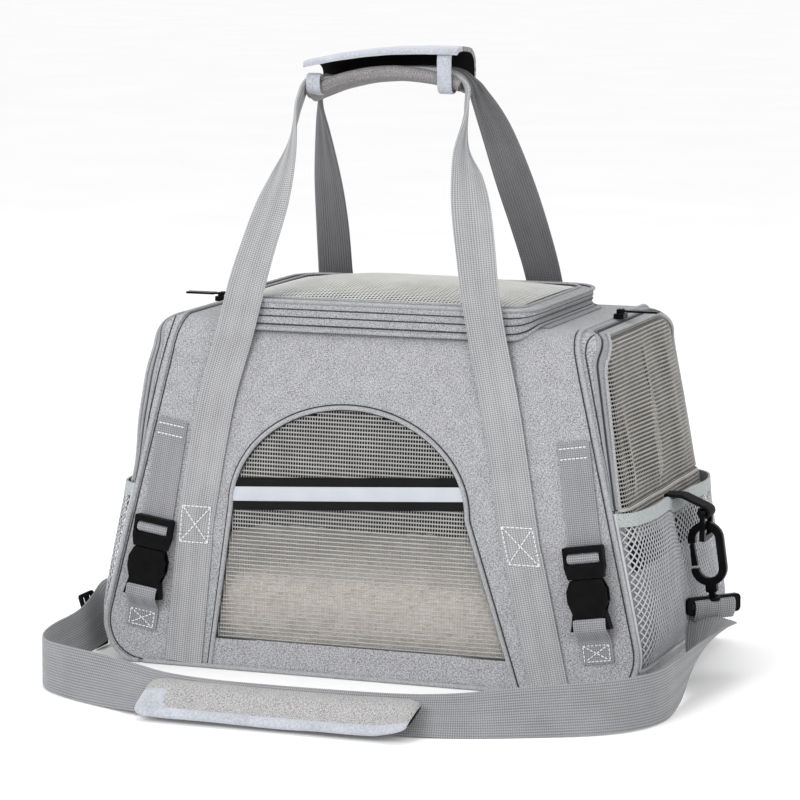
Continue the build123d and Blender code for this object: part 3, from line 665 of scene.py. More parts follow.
def window_points(grow, foot, count=96):
    """Outline of the window as (u, v), from the lower left, over the top."""
    left, right = window_sides(grow, foot)
    half = WINDOW_HALF + grow
    arch = [
        (WINDOW_MIDDLE + half * math.cos(a), WINDOW_SPRING + (WINDOW_RISE + grow) * math.sin(a))
        for a in np.linspace(math.pi, 0, count)
    ]
    return [(left, foot)] + arch + [(right, foot)]


def in_window(u, v, shrink=0.0):
    if v < WINDOW_BOTTOM + shrink:
        return False
    sides = window_sides(-shrink, v)
    return sides is not None and sides[0] < u < sides[1]


def rounded_rect(half_x, y0, y1, radius, step):
    """Closed outline in the XY plane, counter-clockwise from the front left."""
    out = []
    for cx, cy, start in (
        (half_x - radius, y0 + radius, -90), (half_x - radius, y1 - radius, 0),
        (-half_x + radius, y1 - radius, 90), (-half_x + radius, y0 + radius, 180),
    ):
        for k in range(9):
            a = math.radians(start + 90 * k / 8)
            out.append((cx + radius * math.cos(a), cy + radius * math.sin(a)))
    return resample(out, step, closed=True)


# The ends bulge past the piping: x on the end at (y, z).
def end_x(y, z, side=1):
    a = min(1.0, max(0.0, (half_depth(z) - abs(y)) / SHOULDER_R))
    b = min(1.0, max(0.0, (DECK_Z - z) / SHOULDER_R))
    rho = min(1.0, math.hypot(1 - a, 1 - b))
    power = 2.65
    if rho > 1e-6:
        power += 3.35 * ((1 - b) / rho) ** 2
    swell = end_half(z) - piping_half(z)
    soft = 1.2 * noise.noise(Vector((y * 0.02, z * 0.02, 7.7 * side)))
    if side < 0:
        soft += 6.5 * smooth((z - 150) / 45) * smooth((262 - z) / 40)
    return piping_half(z) + swell * (1 - rho**power) - corner_cut(z) + soft * (1 - rho**2)


REF = half_depth(200)


def arch_half(z, low_inset, high_inset):
    """Half width of an arch on the end at height z; its sides come in more towards the top."""
    inset = lerp(low_inset, high_inset, min(1.0, max(0.0, (z - 145) / 115)))
    return (REF - inset) * half_depth(z) / REF


def arch(low_inset, high_inset, inset_top, radius, foot):
    """Points (y, z) of a door arch: up the front, over the top, down the back."""
    top = DECK_Z - inset_top
    half = []
    for k in range(24):
        z = lerp(foot, top - radius, k / 24)
        half.append((-arch_half(z, low_inset, high_inset), z))
    for a in np.linspace(0, math.pi / 2, 13):
        z = top - radius + radius * math.sin(a)
        half.append((-arch_half(z, low_inset, high_inset) + radius * (1 - math.cos(a)), z))
    end = half[-1][0]
    half += [(lerp(end, 0, k / 14), top) for k in range(1, 14)]
    return half + [(0, top)] + [(-y, z) for y, z in reversed(half)]


def in_arch(y, z, low_inset, high_inset, inset_top, radius, foot):
    top = DECK_Z - inset_top
    if z < foot or z > top:
        return False
    half = arch_half(z, low_inset, high_inset)
    if z > top - radius:
        half -= radius * (1 - math.sqrt(max(0.0, 1 - ((z - top + radius) / radius) ** 2)))
    return abs(y) < half


def end_point(y, z, side, out=0.0):
    """Point on the end, and the same moved out of the surface."""
    p = np.array((side * end_x(y, z, side), y, z))
    if not out:
        return p
    return p + end_normal(y, z, side) * out


def end_normal(y, z, side):
    e = 0.8
    y0 = max(-half_depth(z) + 1.0, min(half_depth(z) - 1.0, y))
    z0 = min(DECK_Z - 1.0, z)
    dy = (end_x(y0 + e, z0, side) - end_x(y0 - e, z0, side)) / (2 * e)
    dz = (end_x(y0, z0 + e, side) - end_x(y0, z0 - e, side)) / (2 * e)
    n = np.array((side, -dy, -dz))
    return n / np.linalg.norm(n)


# ---- shoulder strap: first, because the cord's room is checked ------------------------------------
LOOP = (242.35, 0, 44.6)
STAND = 19.4


def nurbs(points):
    """The points of the smooth curve that has these as its control points, in millimetres."""
    data = bpy.data.curves.new("route", "CURVE")
    data.dimensions = "3D"
    data.resolution_u = 12
    spline = data.splines.new("NURBS")
    spline.points.add(len(points) - 1)
    for control, p in zip(spline.points, points):
        control.co = (p[0] * MM, p[1] * MM, p[2] * MM, 1)
    spline.order_u = 3
    spline.use_endpoint_u = True
    holder = bpy.data.objects.new("route", data)
    bpy.context.scene.collection.objects.link(holder)
    bpy.context.view_layer.update()
    graph = bpy.context.evaluated_depsgraph_get()
    mesh = bpy.data.meshes.new_from_object(holder.evaluated_get(graph))
    out = np.array([v.co for v in mesh.vertices]) / MM
    bpy.data.objects.remove(holder)
    return out


# x, y, z of the strap's middle line, and the direction of its width there
STRAP_ROUTE = [
    ((242.35, 0, 44.6), (0.67, 0.74, 0)),
    ((246, -30, 34), (0.75, 0.15, 0.5)), ((249, -75, 25), (0.35, 0, 0.9)),
    ((250, -128, STAND), (0, 0, 1)), ((250, -176, STAND), (-0.1, 0, 1)), ((226, -214, STAND), (-0.2, 0.3, 1)),
    ((172, -237, 17), (0, 0.6, 1)), ((108, -258, 12.2), (0, 1.3, 1)), ((10, -272, 15), (0, 1.6, 1)),
    ((-100, -272, 15), (0, 1.5, 1)), ((-150, -256, 17), (0, 0.7, 1)), ((-190, -246, STAND), (0, 0.2, 1)),
    ((-222, -226, STAND), (0, 0, 1)), ((-236, -180, STAND), (0, 0, 1)), ((-236, -124, STAND), (0, 0, 1)),
    ((-239, -75, 25), (-0.35, 0, 0.9)), ((-243, -30, 34), (-0.75, 0.15, 0.5)),
    ((-242.35, 0, 44.6), (-0.67, 0.74, 0)),
]
centre_line = nurbs([p for p, _ in STRAP_ROUTE])
upper_edge = nurbs([
    tuple(np.array(p) + STRAP_WIDE / 2 * np.array(w) / np.linalg.norm(w)) for p, w in STRAP_ROUTE
])
strap_line = resample(np.hstack([centre_line, upper_edge]), 3.0)
strap_points, strap_across = strap_line[:, :3], strap_line[:, 3:] - strap_line[:, :3]
strap_mesh = ribbon(
    "shoulder_webbing", strap_points, strap_across, webbing_section(STRAP_WIDE, 1.6, 15, 0.16), WEBBING,
    slot="grey_webbing", replaces=["shoulder_strap"],
)
# The strap's ends are turned round the lower bars of the loops.
TURN = [
    (0.6, -11), (3.2, -6), (3.9, 0), (2.8, 3.2), (0, 4.4), (-2.8, 3.2), (-3.9, 0), (-3.2, -6), (-0.6, -11),
]
for name, side in SIDES:
    along = np.array((side * 0.67, 0.74, 0))
    level = np.array((side * 0.74, -0.67, 0))
    middle = np.array((side * LOOP[0], 0, LOOP[2] + 9.2))
    turn = [middle + level * a + np.array((0, 0, b)) for a, b in curve_through(TURN, 40)]
    ribbon(
        f"{name}_strap_turn", turn, [along] * 40, webbing_section(36, 1.3, 14, 0.16), WEBBING,
        slot="grey_webbing",
    )
strap_length = float(np.sum(np.linalg.norm(np.diff(strap_points, axis=0), axis=1)))

# ---- shoulder pad --------------------------------------------------------------------------------
PAD_LONG, PAD_WIDE, PAD_THICK, PAD_X, PAD_LEAN = 212.0, 43.0, 8.5, -8.0, math.radians(66)
PAD_UP = np.array((0, math.sin(PAD_LEAN), math.cos(PAD_LEAN)))
PAD_OUT = np.array((0, -math.cos(PAD_LEAN), math.sin(PAD_LEAN)))


def pad_section(s):
    """Half width and half thickness of the pad at s, from 0 at its left end to 1."""
    end = min(s, 1 - s) * PAD_LONG
    round_off = math.sqrt(max(0.0, 1 - max(0.0, 1 - end / 12) ** 2))
    return PAD_WIDE / 2 * (0.72 + 0.28 * round_off), PAD_THICK / 2 * (0.35 + 0.65 * round_off)


def pad_point(s, angle):
    """Point on the pad; angle runs round its section from the upper edge over the front."""
    wide, thick = pad_section(s)
    w, t = math.cos(angle), math.sin(angle)
    w = math.copysign(abs(w) ** 0.75, w)
    t = math.copysign(abs(t) ** 0.8, t)
    x = PAD_X + (s - 0.5) * PAD_LONG
    base = np.array((x, -277.5, 14.6))
    sag = -1.4 * math.sin(math.pi * s) + 0.8 * noise.noise(Vector((x * 0.03, angle, 0.4)))
    seam = 0.9 * math.exp(-((w * wide + 13.5) / 1.2) ** 2) if t > 0 else 0.0
    curl = 5.0 * smooth((s - 0.86) / 0.14) * (0.5 - 0.5 * w)
    return base + PAD_UP * (w * wide) + PAD_OUT * (t * thick + sag - seam + curl)


SECTION_STEPS, PAD_STEPS = 44, 90
pad_verts, pad_index, pad_uvs = [], [], []
pad_faces = tube_faces(PAD_STEPS + 1, SECTION_STEPS)
for i in range(PAD_STEPS + 1):
    for k in range(SECTION_STEPS):
        angle = 2 * math.pi * k / SECTION_STEPS
        pad_verts.append(tuple(pad_point(i / PAD_STEPS, angle)))
        pad_uvs.append((k * 2.3, i / PAD_STEPS * PAD_LONG))
for i in range(PAD_STEPS):
    for k in range(SECTION_STEPS):
        w = math.cos(2 * math.pi * (k + 0.5) / SECTION_STEPS)
        w = math.copysign(abs(w) ** 0.75, w) * PAD_WIDE / 2
        velvet = w < -13.5 or (i / PAD_STEPS * PAD_LONG < 26 - (w + 24) * 0.35 and w < 6)
        pad_index.append(1 if velvet else 0)
for end, order in ((0, 1), (PAD_STEPS, -1)):
    centre = len(pad_verts)
    ring = [end * SECTION_STEPS + k for k in range(SECTION_STEPS)]
    pad_verts.append(tuple(np.mean([pad_verts[r] for r in ring], axis=0)))
    pad_uvs.append((50, end / PAD_STEPS * PAD_LONG))
    for k in range(SECTION_STEPS):
        triple = (centre, ring[(k + 1) % SECTION_STEPS], ring[k])
        pad_faces.append(triple[::order])
        pad_index.append(2)
pad = make(
    "shoulder_pad_cover", pad_verts, pad_faces, [PAD_CLOTH, VELVET, LINING], face_material=pad_index,
    uvs=pad_uvs, slot="pad_fabric", replaces=["shoulder_pad"], sharp=60,
)
[tuple(c * MM for c in p) for p in strap_points]

# ---- fabric shell: front, shoulders, deck and back in one ----------------------------------------
profile = shell_profile(4.0)
COLUMNS = 101
shell_rows = []
for y, z in profile:
    half = piping_half(z) - corner_cut(z)
    way = -1 if y < 0 else 1
    row = []
    for t in np.linspace(-1, 1, COLUMNS):
        x = t * half
        b = bulge(x, z)
        row.append((x, y + way * b * math.cos(BETA), z + b * math.sin(BETA)))
    shell_rows.append(row)
shell = slab(
    "bag_shell", shell_rows, WALL, [OXFORD, LINING], flip=True, slot="oxford_fabric",
    replaces=["front_panel", "top_deck", "back_panel"],
)
window_outline = [
    np.array((u, -HALF_DEPTH + v * math.sin(BETA), v * math.cos(BETA)))
    for u, v in window_points(0, WINDOW_BOTTOM)
]
cut(shell, prism("window_cutter", window_outline, FRONT_OUT * 24, -FRONT_OUT * 24))
lid_hole = [(x, y, 0) for x, y in rounded_rect(LID_HALF - 9, LID_FRONT + 8.5, LID_BACK - 8, 24, 6)]
cut(shell, prism("lid_cutter", lid_hole, (0, 0, 240), (0, 0, 300)))
shell.data.set_sharp_from_angle(angle=math.radians(40))

# ---- window --------------------------------------------------------------------------------------
verticals, horizontals = straight_lines(-126, 118, WINDOW_BOTTOM - 2, 216, 2.15, 3.16, 5.0)
net(
    "window_net", lambda u, v: front(u, v, -1.6), lambda u, v: in_window(u, v, -2.4), verticals, horizontals,
    (0.6, 1.15), 0.6, MESH_MATERIAL, slot="coated_mesh", replaces=["front_window_mesh"],
)


def panel_line(name, pairs, radius, out, material, **keys):
    points = resample([front(u, v, out) for u, v in pairs], 3.0)
    return sweep(name, points, round_section(radius, 10), [FRONT_OUT] * len(points), material, **keys)


panel_line(
    "window_cord", window_points(1.9, 1.5), 1.75, 0.7, CORD, slot="piping", replaces=["window_piping"],
)
# these dark lines round the window are partly seam thread, partly painted shade beside the cord
panel_line("window_seam_outer", window_points(4.2, 1.5), 0.5, 0.15, SEAM_AND_SHADE)
panel_line("window_seam_inner", window_points(-0.1, WINDOW_BOTTOM), 0.45, -0.3, SEAM_AND_SHADE)
panel_line("window_sill_seam", [(foot, WINDOW_BOTTOM - 0.4) for foot in WINDOW_FEET], 0.5, 0, SEAM_AND_SHADE)


def window_strip(name, low, high, out, thick, material, **keys):
    """A band across the window, tilted a little, from edge to edge."""
    rows = []
    for v in np.linspace(low, high, 7):
        ends = []
        for way in (0, 1):
            u = WINDOW_MIDDLE
            for _ in range(4):
                u = window_sides(0.6, v + (u - WINDOW_MIDDLE) * BAND_TILT)[way]
            ends.append(u)
        ripple = 0.35 * math.sin((v - low) / (high - low) * math.pi)
        rows.append([
            front(u, v + (u - WINDOW_MIDDLE) * BAND_TILT, out + ripple) for u in np.linspace(*ends, 61)
        ])
    return slab(name, rows, thick, material, flip=True, **keys)


window_strip(
    "window_band_cloth", *BAND, -0.1, 1.0, BLACK_WEBBING, slot="black_webbing", replaces=["window_band"],
)
window_strip(
    "reflective_strip", *REFLECTIVE, 0.75, 0.7, TAPE, slot="reflective", replaces=["reflective_tape"],
)


# ---- piping around the ends ----------------------------------------------------------------------
def end_outline(side, inset, out):
    """Line on the end, inset from its outline, from the lower front over the top to the lower back."""
    across = np.gradient(profile, axis=0)
    across /= np.linalg.norm(across, axis=1, keepdims=True)
    points, normals = [], []
    for angle in np.linspace(0, math.pi / 2, 12)[:-1]:
        z = CORNER_R * (1 - math.cos(angle)) + 0.3
        points.append((-half_depth(z) + inset, z))
    for (y, z), (ty, tz) in zip(profile, across):
        if z > CORNER_R or y > 0:
            points.append((y + inset * tz, z - inset * ty))
    points = [p for p in points if not (p[0] > 0 and p[1] <= CORNER_R)]
    points += [(-y, z) for y, z in reversed(points[:11])]
    made = []
    for y, z in points:
        if inset:
            made.append(end_point(y, z, side, out))
        else:
            made.append(np.array((side * (piping_half(z) - corner_cut(z)), y, z)))
        toward = np.array((side * 0.7, math.copysign(0.7, y) if z < 262 else 0, 0 if z < 250 else 0.7))
        normals.append(toward)
        if not inset:
            made[-1] = made[-1] + toward * out
    return made, normals


SEAM_INSET = 2.8
for name, side in SIDES:
    # the dark line inside each end's piping cord is partly seam thread, partly painted shade
    for label, inset, out, radius, material in (
        ("piping_cord", 0.0, 0.5, 1.75, CORD), ("piping_seam", 2.4, 0.05, 0.6, SEAM_AND_SHADE),
    ):
        points, normals = end_outline(side, inset, out)
        points = [np.array((p[0], p[1], max(p[2], radius + 0.1))) for p in points]
        keys = {"slot": "piping"}
        if label == "piping_cord":
            keys["replaces"] = ["front_piping", "back_piping"] if side < 0 else []
        sweep(f"{name}_{label}", points, round_section(radius, 10), normals, material, **keys)
    inner = CORNER_R - SEAM_INSET
    edge = [(x, SEAM_INSET) for x in np.linspace(0, piping_half(0) - CORNER_R, 60)]
    edge += [
        (piping_half(0) - CORNER_R + inner * math.sin(a), CORNER_R - inner * math.cos(a))
        for a in np.linspace(0, math.pi / 2, 16)[1:]
    ]
    edge = [(u - PIPING_SLOPE * v * (v > SEAM_INSET), v) for u, v in edge]
    edge += [(piping_half(v) - SEAM_INSET, v) for v in np.linspace(CORNER_R + 4, 244, 60)]
    edge = [front(side * u, v, 0.1) for u, v in edge]
    edge += [
        np.array((side * (piping_half(z) - SEAM_INSET), y, z + 0.1)) for y, z in profile
        if z > 246 and y < half_depth(DECK_Z) - 12
    ]
    edge = resample(edge, 3.0)
    # the panel's dark edge line is partly seam thread, partly painted shade beside the piping
    seam_out = FRONT_OUT + np.array((0, 0, 0.3))
    sweep(f"{name}_panel_seam", edge, round_section(0.55, 8), [seam_out] * len(edge), SEAM_AND_SHADE)
for way, label in ((-1, "front"), (1, "back")):
    base = piping_half(0) - CORNER_R
    line = [np.array((x, way * (HALF_DEPTH + 0.4), 2.0)) for x in np.linspace(-base - 1, base + 1, 60)]
    sweep(f"{label}_bottom_cord", line, round_section(1.75, 10), [(0, way, 0.3)] * 60, CORD, slot="piping")

bottom_rows = [
    [(t * (piping_half(0) - CORNER_R + 2), y, 3.2) for t in np.linspace(-1, 1, 60)]
    for y in np.linspace(-HALF_DEPTH + 1, HALF_DEPTH - 1, 40)
]
slab(
    "bottom_cloth", bottom_rows, 3.0, [LINING, OXFORD], flip=True, slot="oxford_fabric",
    replaces=["bottom_panel"],
)

# ---- ends ----------------------------------------------------------------------------------------
SPLIT = (3.0, 7.0, 1.6, 24.0)         # the zip between door and surround: insets and corner radius
MESH_EDGE = (6.0, 12.0, 4.6, 26.0)
HINGE_Z = 142.0


def grown(edge, by):
    return (edge[0] + by, edge[1] + by, edge[2] + by, max(6.0, edge[3] - by))


def end_ring(side, edge, foot, out=0.0):
    return [end_point(y, z, side, out) for y, z in arch(*edge, foot)]


def between(side, first, second, foot, steps, out=0.0):
    """Grid of end points between two arches."""
    a, b = arch(*first, foot), arch(*second, foot)
    rows = []
    for (ya, za), (yb, zb) in zip(a, b):
        rows.append([
            end_point(lerp(ya, yb, t), lerp(za, zb, t), side, out) for t in np.linspace(0, 1, steps)
        ])
    return rows


def end_line(name, side, edge, foot, radius, out, material, **keys):
    points = resample(end_ring(side, edge, foot, out), 3.0)
    normals = [end_normal(p[1], p[2], side) for p in points]
    return sweep(name, points, round_section(radius, 10), normals, material, **keys)


OUTLINE = (0.0, 0.0, 0.0, SHOULDER_R)
for name, side in SIDES:
    flip = side < 0
    door = f"{name}_door"
    slab(
        f"{name}_surround", between(side, OUTLINE, grown(SPLIT, -0.4), HINGE_Z, 8), 2.6, [OXFORD, LINING],
        flip=not flip, slot="oxford_fabric", replaces=[f"{name}_door_surround"],
    )
    slab(
        f"{name}_zip_tape", between(side, grown(SPLIT, -2.2), grown(SPLIT, -0.6), HINGE_Z, 3, 0.6), 0.9,
        ZIP_TAPE,
        flip=not flip,
    )
    # the dark zip line is partly the teeth, partly painted shade in the zip's slit
    end_line(f"{name}_zip_teeth", side, SPLIT, HINGE_Z, 0.8, -0.1, SEAM_AND_SHADE)
    slab(
        f"{name}_door_tape", between(side, grown(SPLIT, 0.8), grown(SPLIT, 2.2), HINGE_Z + 0.6, 3, 0.6), 0.9,
        ZIP_TAPE,
        flip=not flip, body=door,
    )
    slab(
        f"{name}_door_cloth", between(side, grown(SPLIT, 0.6), MESH_EDGE, HINGE_Z + 0.6, 8), 2.2,
        [OXFORD, LINING],
        flip=not flip, body=door, slot="oxford_fabric", replaces=[f"{name}_door_frame"],
    )
    end_line(
        f"{name}_door_cord", side, grown(MESH_EDGE, -0.3), HINGE_Z + 1.2, 1.35, 0.8, CORD, body=door,
        slot="piping",
    )

    def mesh_surface(y, z, side=side):
        rise = smooth((z - 143) / 22) * smooth((262 - z) / 26)
        crease = -4 + 16 * (z - 200) / 120
        ridge = 1.0 * math.exp(-((y - crease) / 3.5) ** 2)
        big = 5.2 * smooth((y - crease + 62) / 60) * (1 - smooth((y - crease) / 7)) * smooth((245 - z) / 50)
        small = 2.4 * math.exp(-((y + 74) / 6) ** 2) * smooth((225 - z) / 50)
        far = 2.0 * math.exp(-((y - 60) / 16) ** 2)
        return end_point(y, z, side, (big + small + far + ridge) * rise - 1.0)

    rows, columns = straight_lines(-108, 108, HINGE_Z + 1, 270, 3.2, 3.0, 3.2)
    door_net = net(
        f"{name}_door_net", mesh_surface,
        lambda y, z: in_arch(y, z, *grown(MESH_EDGE, -1.8), HINGE_Z + 1), rows, columns, (0.5, 1.25), 0.6,
        SIDE_MESH, body=None, slot="coated_mesh", replaces=[f"{name}_door_mesh"],
    )
    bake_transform(door_net)
    rows, columns = straight_lines(-111, 111, 118, HINGE_Z - 1, 3.2, 3.0, 3.2)
    net(
        f"{name}_lower_net", lambda y, z, side=side: end_point(y, z, side, 1.2),
        lambda y, z: abs(y) < half_depth(z) - 4, rows, columns, (0.5, 1.25), 0.6, SIDE_MESH,
        slot="coated_mesh",
    )
    line = [end_point(y, HINGE_Z, side, 0.4) for y in np.linspace(-1, 1, 60) * (half_depth(HINGE_Z) - 5)]
    sweep(f"{name}_hinge_seam", line, round_section(0.9, 8), [(side, 0, 0)] * 60, SIDE_MESH)
    # lower end panel, rounded in at its foot
    heights = [CORNER_R * (1 - math.cos(a)) + 0.3 for a in np.linspace(0, math.pi / 2, 14)]
    heights += list(np.linspace(CORNER_R + 4, HINGE_Z - 0.4, 26))
    panel = [[end_point(y, z, side) for y in np.linspace(-1, 1, 57) * half_depth(z)] for z in heights]
    lower = slab(
        f"{name}_end_cloth", panel, 2.8, [OXFORD, LINING], flip=not flip, slot="oxford_fabric",
        replaces=[f"{name}_end_panel"],
    )
    # painted shade: above the nets' foot height, the end cloth behind the nets takes the black lining in
    # place of the grey oxford
    for polygon in lower.data.polygons:
        mid = polygon.center / MM
        if polygon.material_index == 0 and abs(mid.y) < half_depth(mid.z) - 7 and mid.z > NET_SHADE_FOOT:
            polygon.material_index = 1

    # pocket: two lobes of net, pinned in the middle under the tab
    def pocket_out(y, z):
        share = (z - 24) / 112
        edge = math.sqrt(max(0.0, 1 - (y / 106) ** 6))
        lobes = (0.22 + 0.78 * abs(math.sin(math.pi * y / 108)) ** 0.8) * (0.55 if y < 0 else 1.0)
        foot = smooth((z - 20) / 26)
        return 1.6 + (3 + 12 * share) * edge * lerp(1, lobes, smooth(share)) * foot

    def pocket_surface(y, z, side=side):
        dip = 6.0 * math.exp(-(y / 14) ** 2) * smooth((z - 60) / 70)
        wide = (half_depth(z) - 1.4) / 106
        return end_point(y * wide, z - dip, side) + np.array((side * pocket_out(y, z), 0, 0))

    first, second = diagonal_lines(-106, 106, 24, 132, 4.6, 2.4)
    net(
        f"{name}_pocket_threads", pocket_surface, lambda y, z: abs(y) < 105.8 and 24 < z < 132, first, second,
        (1.4, 1.4), 0.7, NET_MATERIAL, slot="pocket_net", replaces=[f"{name}_pocket_net"],
    )
    hem = [
        [pocket_surface(y, z) + np.array((side * 0.8, 0, 0)) for y in np.linspace(-106, 106, 81)]
        for z in np.linspace(130, 140, 6)
    ]
    slab(
        f"{name}_elastic", hem, 1.6, ELASTIC, flip=not flip, slot="elastic", replaces=[f"{name}_pocket_hem"],
    )
    for y in (-106, 106):
        binding = [pocket_surface(y, z) for z in np.linspace(24, 140, 40)]
        sweep(
            f"{name}_pocket_edge_{'front' if y < 0 else 'back'}", binding, round_section(1.2, 8),
            [(side, 0, 0)] * 40, NET_MATERIAL,
        )
    foot_line = [pocket_surface(y, 24) for y in np.linspace(-106, 106, 50)]
    sweep(f"{name}_pocket_foot", foot_line, round_section(1.2, 8), [(side, 0, 0)] * 50, NET_MATERIAL)

# ---- lid -----------------------------------------------------------------------------------------
LID_MID = (LID_FRONT + LID_BACK) / 2


def lid_foot(y):
    """Height of the flap's lower edge: it hangs over the bag's front shoulder."""
    return LID_LOW - 8.0 * smooth((-80 - y) / 24)


lid_path = rounded_rect(LID_HALF, LID_FRONT, LID_BACK, LID_R, 4.0)
FLAP = [
    (-2.6, 0.0), (-0.6, -0.2), (0.3, 0.4), (0.8, 1.6), (0.4, 2.9), (-0.5, 3.4), (-0.6, 4.6), (-0.5, 8.6),
    (0.1, 9.4), (0.3, 12.0), (0.0, 13.6), (-1.2, 14.6), (-6.0, 15.4), (-12.4, 15.6), (-12.6, 13.4),
    (-6.0, 13.0),
    (-3.2, 12.2), (-2.8, 6.0),
]


def flap_section(i):
    foot = lid_foot(lid_path[i][1])
    stretch = (LID_TOP + 0.6 - foot) / 15.0
    return [(a, foot - LID_LOW + (b if b < 5 else (b - 15.6) + 15.0 * stretch + 0.6)) for a, b in FLAP]


lid_points = [(x, y, LID_LOW) for x, y in lid_path]
sweep(
    "lid_flap", lid_points, flap_section, [(0, 0, 1)] * len(lid_points), OXFORD, closed=True, body="lid",
    slot="oxford_fabric", replaces=["lid_frame"], sharp=50,
)
# the dark lid lines beside the cords are partly seam thread, partly painted shade
for label, grow, high, radius, material in (
    ("lid_top_cord", 0.2, 15.0, 1.6, CORD), ("lid_top_seam", -2.0, 15.4, 0.5, SEAM_AND_SHADE),
    ("lid_mesh_seam", -12.6, 15.9, 0.6, SEAM_AND_SHADE), ("lid_mesh_cord", -10.6, 16.0, 1.2, CORD),
):
    ring = rounded_rect(LID_HALF + grow, LID_FRONT - grow, LID_BACK + grow, max(8, LID_R + grow), 4.0)
    sweep(
        label, [(x, y, LID_LOW + high) for x, y in ring], round_section(radius, 8), [(0, 0, 1)] * len(ring),
        material, closed=True, body="lid", slot="piping",
    )
flap_line = rounded_rect(LID_HALF - 0.2, LID_FRONT + 0.2, LID_BACK - 0.2, 26, 4.0)
# dark lines round the flap: partly seam thread, partly painted shade in its grooves
for label, share, radius in (("lower", 0.22, 0.6), ("middle", 0.5, 0.5), ("upper", 0.76, 0.6)):
    groove = [(x, y, lerp(lid_foot(y), LID_TOP, share)) for x, y in flap_line]
    sweep(
        f"lid_flap_seam_{label}", groove, round_section(radius, 8), [(0, 0, 1)] * len(groove), SEAM_AND_SHADE,
        closed=True, body="lid",
    )


def dome(x, y):
    across, along = abs(x) / 116.0, abs(y - LID_MID) / 80.5
    rise = max(0.0, 1 - across**3) * max(0.0, 1 - along**2.6)
    soft = 1.0 * noise.noise(Vector((x * 0.02, y * 0.02, 5.5)))
    return np.array((x, y, LID_TOP + 0.2 + (LID_CROWN + soft) * rise))


def in_lid(x, y, inset=11.5):
    half_x, half_y, r = LID_HALF - inset, (LID_BACK - LID_FRONT) / 2 - inset, LID_R - inset + 2
    dx, dy = abs(x) - (half_x - r), abs(y - LID_MID) - (half_y - r)
    return math.hypot(max(dx, 0), max(dy, 0)) < r


lid_rows, lid_columns = straight_lines(-116, 116, LID_FRONT + 11, LID_BACK - 11, 3.0, 3.4, 5.0)
net(
    "lid_net", dome, in_lid, lid_rows, lid_columns, (1.2, 1.5), 0.8, LID_MESH, body="lid",
    slot="coated_mesh", replaces=["lid_mesh"],
)
half_ring = [
    p for p in rounded_rect(LID_HALF + 3.2, LID_FRONT - 3.2, LID_BACK + 3.2, LID_R + 3, 4.0) if p[1] > -78
]
start = max(range(len(half_ring)), key=lambda k: math.dist(half_ring[k], half_ring[k - 1]))
half_ring = half_ring[start:] + half_ring[:start]
sweep(
    "lid_zip_tape", [(x, y, DECK_Z + 0.4) for x, y in half_ring],
    [(-3.4, 0), (3.4, 0), (3.4, 0.7), (0.9, 0.9), (0.4, 1.7), (-0.4, 1.7), (-0.9, 0.9), (-3.4, 0.8)],
    [(0, 0, 1)] * len(half_ring), ZIP_TAPE,
)

# ---- fleece mat ----------------------------------------------------------------------------------
def fixed_ring(half_x, half_y, radius, count):
    ring = rounded_rect(half_x, -half_y, half_y, radius, 2.0)
    closed = np.vstack([ring, ring[:1]])
    run = run_length(closed)
    at = np.linspace(0, run[-1], count + 1)[:-1]
    return [(np.interp(a, run, closed[:, 0]), np.interp(a, run, closed[:, 1])) for a in at]


def fleece_mat():
    low, high, count = 7.6, 73.0, 300
    rows = [(d, high - 1.5 * (1 - d / 96)) for d in np.linspace(100, 16, 22)]
    rows += [
        (16 - 16 * math.sin(a), high - 16 * (1 - math.cos(a))) for a in np.linspace(0.15, math.pi / 2, 9)
    ]
    rows += [(lerp(0, 9, t), lerp(high - 18, low + 3, t)) for t in np.linspace(0, 1, 14)]
    rows += [(12, low), (60, low), (100, low)]
    verts, faces = [], []
    for inset, z in rows:
        half_x, half_y = 194 - inset, 109 - inset
        for x, y in fixed_ring(half_x, half_y, max(3.0, min(26 - 0.2 * inset, half_y - 0.5)), count):
            p = Vector((x, y, z))
            clump = noise.noise(p * 0.16) * 1.5 + noise.noise(p * 0.05) * 2.2 + noise.noise(p * 0.4) * 0.6
            fade = 1.0 if z > 14 else 0.0
            verts.append((
                x * (1 + 0.006 * clump * fade), y * (1 + 0.011 * clump * fade), z + clump * 0.7 * fade,
            ))
    rings = len(rows)
    for i in range(rings - 1):
        for k in range(count):
            q = (k + 1) % count
            a, b = i * count, (i + 1) * count
            faces.append((a + k, b + k, b + q, a + q))
    faces.append(tuple(range(count)))
    faces.append(tuple(range((rings - 1) * count, rings * count))[::-1])
    mat = make("fleece_bed", verts, faces, FLEECE, slot="fleece", replaces=["fleece_mat"], sharp=180)


fleece_mat()

# ---- handles -------------------------------------------------------------------------------------
# y, z of the free straps, then x and twist in degrees on the left and on the right, and their width
FRONT_PATH = [
    (-109.6, 205, -126, 107, 0, 0, 30), (-107.8, 262, -110, 95, 0, 0, 30), (-109.5, 300, -99, 89, 0, 0, 30),
    (-105, 330, -91, 84, 6, 8, 30), (-95, 360, -84, 77, 14, 27, 30), (-80, 385, -81, 69, 38, 60, 29),
    (-62, 407, -81, 60, 62, 95, 26), (-36, 434, -85, 53, 78, 110, 20), (-20, 451, -82, 46, 86, 104, 14),
]
BACK_PATH = [
    (109.6, 205, -110, 74, 0, 0, 30), (105.9, 262, -108, 74, 0, 0, 30), (88, 294, -103, 75, 4, 4, 30),
    (66, 333, -97, 71, 12, 12, 30), (44, 372, -92, 65, 26, 24, 29), (24, 411, -88, 57, 48, 42, 25),
    (8, 438, -84, 49, 74, 62, 19), (1.5, 452, -80, 43, 86, 80, 14),
]
FRONT_FEET = ((-150.0, -139.6), (150.0, 119.5))
BACK_FEET = ((-128.0, -112.0), (98.0, 74.0))


